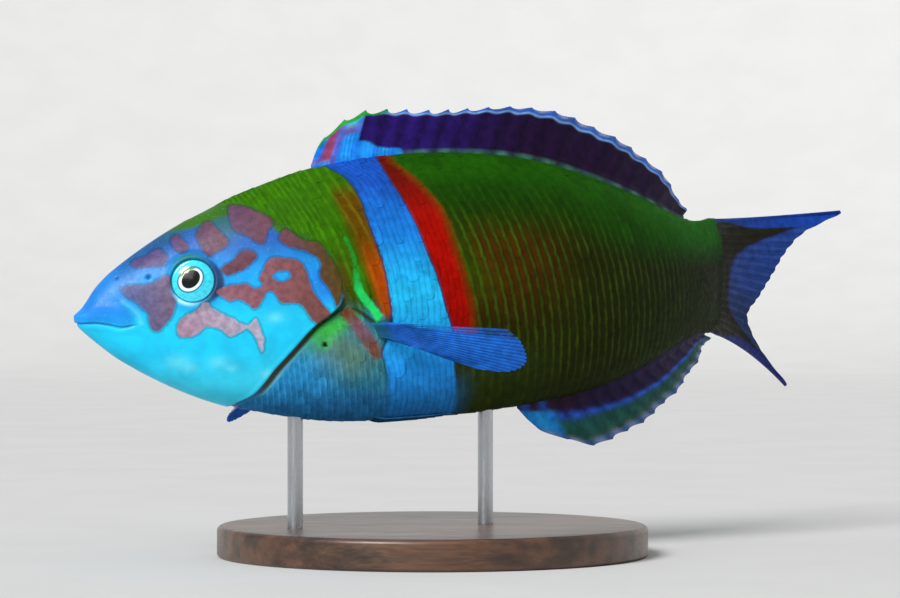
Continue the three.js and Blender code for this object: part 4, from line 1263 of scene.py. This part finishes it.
def dorsal_fin(material):
    """Long low fin of the back: spines in front, soft rays behind."""
    rays = np.concatenate([DORSAL["spines"], np.linspace(*DORSAL["soft"])])
    number, away = ray_lines(len(rays))
    middle, base, _, reach = median_fin(DORSAL, 1, rays, number, 56)
    thick = ray_thickness(away, reach, 1.0, 0.75, 0.3)
    near = hump(away, 0.28)
    root = np.clip(base, rays[0], rays[-1])
    front = smooth(0.3625, 0.3595, root)
    in_light = np.maximum(smooth(0.03, -0.03, reach - curve(DORSAL["light"], root)), front)
    light = paint(FIN["sky"], FIN["azure"], 0.375 + 0.375 * np.sin(root * LENGTH * 7.5))
    crest = smooth(0.085, 0.05, reach) * smooth(0.41, 0.43, root) * (0.7 + 0.3 * np.cos(root * 170))
    leaning = root - 0.012 * reach
    red = smooth(1.7, 1.1, np.abs(leaning - 0.3185) * LENGTH) * smooth(0.02, 0.14, reach)
    edge = 0.89 - 0.05 * smooth(0.5, 0.65, root) + 0.02 * np.cos(number * 2 * np.pi)[:, None]
    rim = paint(FIN["rim_green"], FIN["rim_blue"], smooth(0.375, 0.4, root))
    rim_from = edge - 0.06 * smooth(0.37, 0.35, root)
    ground = coats(
        FIN["navy"], FIN,
        ("plum", smooth(0.42, 0.6, root)),
        (light, in_light),
        ("crest", 0.5 * crest),
        ("mauve", front * smooth(0.5, 0.62, reach) * smooth(0.333, 0.339, root)),
        ("mauve", front * band(leaning, 0.331, 0.6)),
        ("cyan", front * band(root, 0.351, 1.4) * hump(reach - 0.82, 0.11)),
        ("rose", red),
        (rim, smooth(rim_from - 0.02, rim_from + 0.01, reach)),
        ("rim_pale", 0.85 * hump(reach - edge, 0.022) * smooth(0.375, 0.395, root)),
    )
    line = coats(FIN["ray_dark"], FIN, ("azure", in_light),
                 (ground, smooth(rim_from - 0.04, rim_from, reach)))
    clear = 0.5 * smooth(edge + 0.03, edge + 0.1, reach) * (1 - 0.6 * near) * smooth(0.38, 0.42, root)
    painted = {"ground": ground, "line": line, "ray": 0.75 * near, "solid": 1 - clear}
    fin_sheet("dorsal_fin", middle, thick, painted, material, "dorsal_fin_spiny", "dorsal_fin_soft")


def anal_fin(material):
    """Fin under the tail: purple at its root, a blue line, a green band and a clear margin."""
    rays = np.linspace(*ANAL["rays"])
    number, away = ray_lines(len(rays))
    middle, _, share, reach = median_fin(ANAL, -1, rays, number, 48)
    thick = ray_thickness(away, reach, 1.0, 0.75, 0.3)
    near = hump(away, 0.28)
    line_at = lerp(0.34, 0.58, smooth(0.6, 0.88, share))
    wide = lerp(0.1, 0.05, smooth(0.6, 0.75, share))
    front = smooth(0.625, 0.6, share - 0.03 * reach)
    ground = coats(
        FIN["maroon"], FIN,
        ("anal_purple", smooth(0.62, 0.7, share)),
        ("leaf", smooth(line_at - 0.01, line_at + 0.02, reach)),
        ("violet", hump(reach - line_at, wide)),
        ("sky", 0.8 * front * smooth(0.15, 0.3, reach)),
        ("rim_blue", 0.8 * smooth(0.84, 0.93, reach)),
    )
    line = coats(FIN["ray_dark"], FIN, ("leaf_dark", smooth(line_at, line_at + 0.05, reach)),
                 ("azure", front))
    solid = 1 - 0.4 * smooth(0.7, 0.95, reach) * (1 - 0.6 * near)
    painted = {"ground": ground, "line": line, "ray": 0.65 * near, "solid": solid}
    fin_sheet("anal_fin_sheet", middle, thick, painted, material, "anal_fin")


TAIL = {
    "rays": 17, "columns": 61, "tip": (46, -15), "rise": (-6, 8.8), "sunk": 3.0,
    "length": [
        (-1, 46.5), (-0.88, 33), (-0.7, 22.5), (-0.45, 17), (-0.15, 20.5), (0.2, 24.5), (0.55, 28.5),
        (0.8, 34.5), (1, 46.5),
    ],
    "blue_from": [
        (-1, 1.1), (-0.88, 0.94), (-0.75, 0.8), (-0.6, 0.66), (-0.4, 0.54), (-0.1, 0.46), (0.3, 0.44),
        (0.55, 0.56), (0.75, 0.78), (0.9, 0.96), (1, 1.1),
    ],
}


def tail_middle(u, away, out):
    """Middle points of the tail fin's rays, u from -1 for the lowest to 1 for the highest."""
    height = lerp(curve(BELLY, 1.0), curve(BACK, 1.0), (u[:, 0] + 1) / 2) * LENGTH
    root = bend(LENGTH - TAIL["sunk"], 0, height * 0.93)
    notch = 1 - 0.018 * smooth(0.05, 0.5, away)
    length = curve(TAIL["length"], u) * notch + TAIL["sunk"]
    halfway = (out[1:] + out[:-1]) / 2
    heading = lerp(curve(HEADING, 1.0), TAIL["tip"][0] + TAIL["tip"][1] * u, halfway)
    rise = (TAIL["rise"][0] + TAIL["rise"][1] * u) * (0.4 + 1.2 * halfway)
    steps = direction(heading, rise) * (length / (len(out) - 1))[..., None]
    way = np.concatenate([np.zeros_like(steps[:, :1]), np.cumsum(steps, axis=1)], axis=1)
    return root[:, None] + way


def tail_fin(material):
    """Tail fin with its two drawn-out lobes."""
    number, away = ray_lines(TAIL["rays"])
    u = (number / (TAIL["rays"] - 1) * 2 - 1)[:, None]
    out = np.linspace(0, 1, TAIL["columns"])
    middle = tail_middle(u, away, out)
    reach = np.broadcast_to(out[None, :], middle.shape[:2])
    forked = np.abs(away - 0.16 * smooth(0.35, 0.9, reach))
    near = hump(forked, 0.15)
    thick = ray_thickness(forked, reach, 2.2, 0.9, 0.3)
    thick = thick * (1 - 0.75 * np.abs(u) ** 3 * smooth(0.16, 0.08, reach))
    inner = smooth(-0.04, 0.06, reach - curve(TAIL["blue_from"], u))
    upper = smooth(-0.015, 0.02, u - lerp(0.98, 0.85, smooth(0.12, 0.55, reach)))
    lower = smooth(-0.02, 0.04, -u - lerp(1.02, 0.86, smooth(0.1, 0.6, reach)))
    blue = paint(FIN["tail_blue"], FIN["tail_low"], smooth(0.1, -0.4, u))
    ground = coats(FIN["stalk"], FIN, ("olive", smooth(0.16, 0.34, reach)), (blue, inner),
                   ("tail_top", upper), ("tail_margin", lower))
    line = coats(FIN["ray_dark"], FIN, ("tail_ray", np.maximum(inner, lower)), ("tail_top", upper))
    solid = 1 - 0.12 * inner * (1 - near)
    painted = {"ground": ground, "line": line, "ray": 0.4 * near, "solid": solid}
    fin_sheet("tail_fin", middle, thick, painted, material, "tail_fin_upper", "tail_fin_lower")


PECTORAL = {
    "rays": 15, "length": 30.5, "upper": (0.348, -0.031), "lower": (0.354, -0.047), "sunk": 2.0,
    "reach": [(0, 0.9), (0.2, 0.97), (0.45, 1), (0.62, 0.985), (0.78, 0.92), (0.9, 0.82), (1, 0.66)],
    "left": {"upper": (-20, -2.5), "lower": (-8, -18)},
    "right": {"upper": (-188, -38), "lower": (-199, -37)},
}


def pectoral_middle(name, side, place, away, out):
    """Middle points of a pectoral fin's rays, from its root on the flank to its margin."""
    ends = PECTORAL[name]
    along, up = (lerp(*pair, place) for pair in zip(PECTORAL["upper"], PECTORAL["lower"]))
    heading, rise = (lerp(*pair, place) for pair in zip(ends["upper"], ends["lower"]))
    on_flank, _ = surface(along, -side * flank_angle(along, up), 0.0)
    x, z = along * LENGTH, up * LENGTH
    outward = unit(bend(x, side * 100.0, z) - bend(x, 0.0, z))
    notch = 1 - 0.012 * smooth(0.05, 0.5, away)
    length = PECTORAL["length"] * curve(PECTORAL["reach"], place) * notch
    bow = 2.6 * np.sin(np.pi * np.minimum(out * 1.25, 1)) * (1 - out * 0.6)
    lift = bow + PECTORAL["sunk"] * (np.minimum(out * 3, 1) - 1)
    return on_flank + direction(heading, rise) * (length * out)[..., None] + outward * lift[..., None]


def pectoral_fin(name, side, material):
    """Fin behind the gill opening, on its fleshy root."""
    number, away = ray_lines(PECTORAL["rays"])
    place = across_fin(number, PECTORAL["rays"])
    out = np.linspace(0, 1, 48)[None, :]
    middle = pectoral_middle(name, side, place, away, out)
    reach = np.broadcast_to(out, middle.shape[:2])
    forked = np.abs(away - 0.14 * smooth(0.4, 0.9, reach))
    near = hump(forked, 0.13)
    thick = ray_thickness(forked, reach, 1.5, 0.55, 0.3)
    # The dark teal near the fin's root is painted shade where the fin meets the body.
    ground = coats(FIN["pectoral"], FIN, ("rim_blue", 0.4 * smooth(0.8, 1, reach)),
                   ("pectoral_ray", 0.5 * smooth(0.5, 0.3, reach)),
                   ("leaf", 0.7 * smooth(0.16, 0.08, reach)))
    line = paint(FIN["pectoral_ray"], ground, smooth(0.12, 0.06, reach))
    lead = smooth(0.2, 0.12, place) * smooth(0.2, 0.35, reach)
    solid = 1 - 0.8 * lead * (1 - 0.7 * near) - 0.12 * smooth(0.3, 0.8, reach) * (1 - near)
    ray = near * lerp(0.6, 0.25, smooth(0.4, 0.8, reach))
    painted = {"ground": ground, "line": line, "ray": ray, "solid": solid}
    fin_sheet(f"pectoral_fin_{name}_sheet", middle, thick, painted, material, f"pectoral_fin_{name}")


PELVIC = {"rays": 6, "length": 21.0, "along": 0.325, "outer": 2.4, "inner": 0.8, "drop": 0.15}


def pelvic_fin(name, side, material):
    """Small fin folded back under the belly."""
    number, away = ray_lines(PELVIC["rays"])
    place = across_fin(number, PELVIC["rays"])
    out = np.linspace(0, 1, 36)[None, :]
    notch = 1 - 0.04 * smooth(0.05, 0.5, away)
    length = PELVIC["length"] * lerp(1, 0.55, place**1.4) * notch
    share = PELVIC["along"] + 0.012 * place + length * out / LENGTH
    spread = lerp(PELVIC["outer"], PELVIC["inner"], place) + 0.4 * out
    half_width = curve(HALF_WIDTH, share) * LENGTH
    under = (middle_up(share) - half_height(share) * np.sqrt(1 - (spread / half_width) ** 2)) * LENGTH
    off = lerp(-1.6, PELVIC["drop"], smooth(0, 0.4, out))
    middle = bend(share * LENGTH, side * spread, under - off)
    thick = ray_thickness(away, np.broadcast_to(out, middle.shape[:2]), 0.6, 0.3, 0.25)
    ground = paint(FIN["pale"], FIN["pelvic"], smooth(0.0, 0.1, place))
    line = paint(ground, FIN["tail_ray"], 0.5)
    painted = {"ground": ground, "line": line, "ray": 0.6 * hump(away, 0.2), "solid": np.ones((1, 1))}
    fin_sheet(f"pelvic_fin_{name}_sheet", middle, thick, painted, material, f"pelvic_fin_{name}")


# Stand
STAND = {
    "radius": 42.0, "height": 6.0, "edge": 1.0, "inset": 6.0, "rod": 1.5, "sunk": 0.5,
    "into_fish": 1.5,
}
RODS = {"front": 0.262, "rear": 0.515}
WOOD = palette(dark=(52, 34, 24), light=(92, 62, 42))
STEEL = palette(dark=(168, 171, 175), light=(205, 208, 212))


def turned_points(profile, spokes, centre=(0.0, 0.0)):
    """Points of a profile of (radius, height) turned round an upright axis."""
    profile = np.array(profile)
    x = profile[:, :1] * np.cos(circle(spokes)) + centre[0]
    y = profile[:, :1] * np.sin(circle(spokes)) + centre[1]
    return np.stack([x, y, np.broadcast_to(profile[:, 1:], x.shape)], -1).reshape(-1, 3)


def turned(name, profile, material, slot, replaced, centre=(0.0, 0.0)):
    """Round piece from a profile of (radius, height), the first and last on its axis."""
    spokes = 160
    ends = [[*centre, profile[0][1]], [*centre, profile[-1][1]]]
    points = np.vstack([turned_points(profile[1:-1], spokes, centre), ends])
    piece = make_mesh(name, points, closed_faces(len(profile) - 2, spokes), sharp_over=35)
    finish_piece(piece, material, slot, replaced)


def base_profile():
    """Side of the base: a small chamfer below and a rounded edge above."""
    radius, height, edge = STAND["radius"], STAND["height"], STAND["edge"]
    turn = np.linspace(0, np.pi / 2, 8)
    arc = [(radius - edge + edge * math.cos(a), height - edge + edge * math.sin(a)) for a in turn]
    return [(0, 0), (radius - edge / 2, 0), (radius, edge / 2), *arc,
            (radius - STAND["inset"], height), (0, height)]


def wood_material():
    """Dark oiled wood with straight grain."""
    m = Material("stand_wood", Coat_Weight=0.3, Coat_Roughness=0.25)
    grain = m.noise(4.0, 6, stretch=(0.08, 1, 1))
    fine = m.noise(0.5, 4, stretch=(0.05, 1, 1))
    colour = m.blend(m.ramp(grain, 0.35, 0.65), WOOD["dark"], WOOD["light"])
    return m.finish(Base_Color=m.tone(colour, fine, 0.8, 1.15), Roughness=m.between(fine, 0.34, 0.5),
                    Normal=m.bump(fine, 0.03))


def steel_material():
    """Brushed steel."""
    m = Material("stand_steel", Metallic=1.0)
    brushed = m.noise(0.25, 3, stretch=(1, 1, 0.05))
    return m.finish(Base_Color=m.blend(brushed, STEEL["dark"], STEEL["light"]),
                    Roughness=m.between(brushed, 0.24, 0.36))


def stand():
    """Base and the two rods that carry the fish."""
    turned("base_disc", base_profile(), wood_material(), "stand_wood", "stand_base")
    steel = steel_material()
    radius = STAND["rod"]
    low = STAND["height"] - STAND["sunk"]
    for name, along in RODS.items():
        x, y, z = bend(along * LENGTH, 0.0, curve(BELLY, along) * LENGTH)
        high = z + STAND["into_fish"]
        profile = [(0, low), (radius, low), (radius, high), (0, high)]
        turned(f"rod_{name}", profile, steel, "stand_steel", f"stand_rod_{name}", (x, y))


# Studio, the floor in millimetres and the rest in metres
STAGE = {"flat": 1500.0, "sweep": 900.0, "wall": 1500.0, "spokes": 128}
FLOOR_COLOUR = (0.62, 0.62, 0.61)
SKY = {"colour": (0.95, 0.97, 1.0, 1), "strength": 0.5}
AIM = (0.0, 0.0, 0.05)
CAMERA = {"at": (0.0034, -0.657, 0.05), "lens": 134.66, "sensor": 36.0}


def floor():
    """Wide pale floor that sweeps up into a round wall."""
    flat, sweep, spokes = STAGE["flat"], STAGE["sweep"], STAGE["spokes"]
    turn = np.linspace(0, np.pi / 2, 25)[1:]
    level = [(r, 0.0) for r in np.linspace(5, flat, 12)]
    bowl = [(flat + sweep * math.sin(a), sweep * (1 - math.cos(a))) for a in turn]
    profile = level + bowl + [(flat + sweep, STAGE["wall"])]
    faces = grid_faces(len(profile), spokes, closed=True).tolist() + [list(range(spokes))]
    piece = make_mesh("floor", turned_points(profile, spokes), faces)
    piece.visible_shadow = False
    m = Material("floor", Roughness=0.9, Specular_IOR_Level=0.0)
    colour = m.tone(FLOOR_COLOUR, m.noise(40, 3), 0.985, 1.015)
    piece.data.materials.append(m.finish(Base_Color=colour))


def add_light(kind, name, at, power, **settings):
    """Lamp at a point, aimed at the fish."""
    data = bpy.data.lights.new(name, kind)
    data.energy = power
    for key, value in settings.items():
        setattr(data, key, value)
    lamp = add_object(name, data)
    lamp.location = at
    x, y, z = np.array(AIM) - np.array(at)
    lamp.rotation_euler = (math.atan2(math.hypot(x, y), -z), 0, math.atan2(y, x) - math.pi / 2)


def studio():
    """Pale surroundings, soft lights and the camera."""
    scene = bpy.context.scene
    scene.world = bpy.data.worlds.new("studio")
    scene.world.use_nodes = True
    background = scene.world.node_tree.nodes["Background"]
    background.inputs["Color"].default_value = SKY["colour"]
    background.inputs["Strength"].default_value = SKY["strength"]
    scene.view_settings.view_transform = "Standard"
    add_light("SUN", "key", (-0.5, -0.75, 0.75), 2.9, angle=math.radians(25))
    add_light("AREA", "sheen", (-0.35, -0.7, 0.6), 1.2, size=0.5)
    data = bpy.data.cameras.new("camera")
    data.lens = CAMERA["lens"]
    data.sensor_width = CAMERA["sensor"]
    scene.camera = add_object("camera", data)
    scene.camera.location = CAMERA["at"]
    scene.camera.rotation_euler = (math.pi / 2, 0, 0)


def build():
    """The whole fish on its stand."""
    skin_piece()
    scales = scale_material()
    membrane = fin_material()
    eyes = eye_material()
    for name, side in SIDES.items():
        scales_piece(f"scales_{name}", side, 1, scales)
        scales_piece(f"small_scales_{name}", side, SMALL_SCALE, scales)
        eye_piece(f"eyeball_{name}", side, eyes, f"eye_{name}")
        pectoral_fin(name, side, membrane)
        pelvic_fin(name, side, membrane)
    dorsal_fin(membrane)
    anal_fin(membrane)
    tail_fin(membrane)
    stand()


build()
floor()
studio()
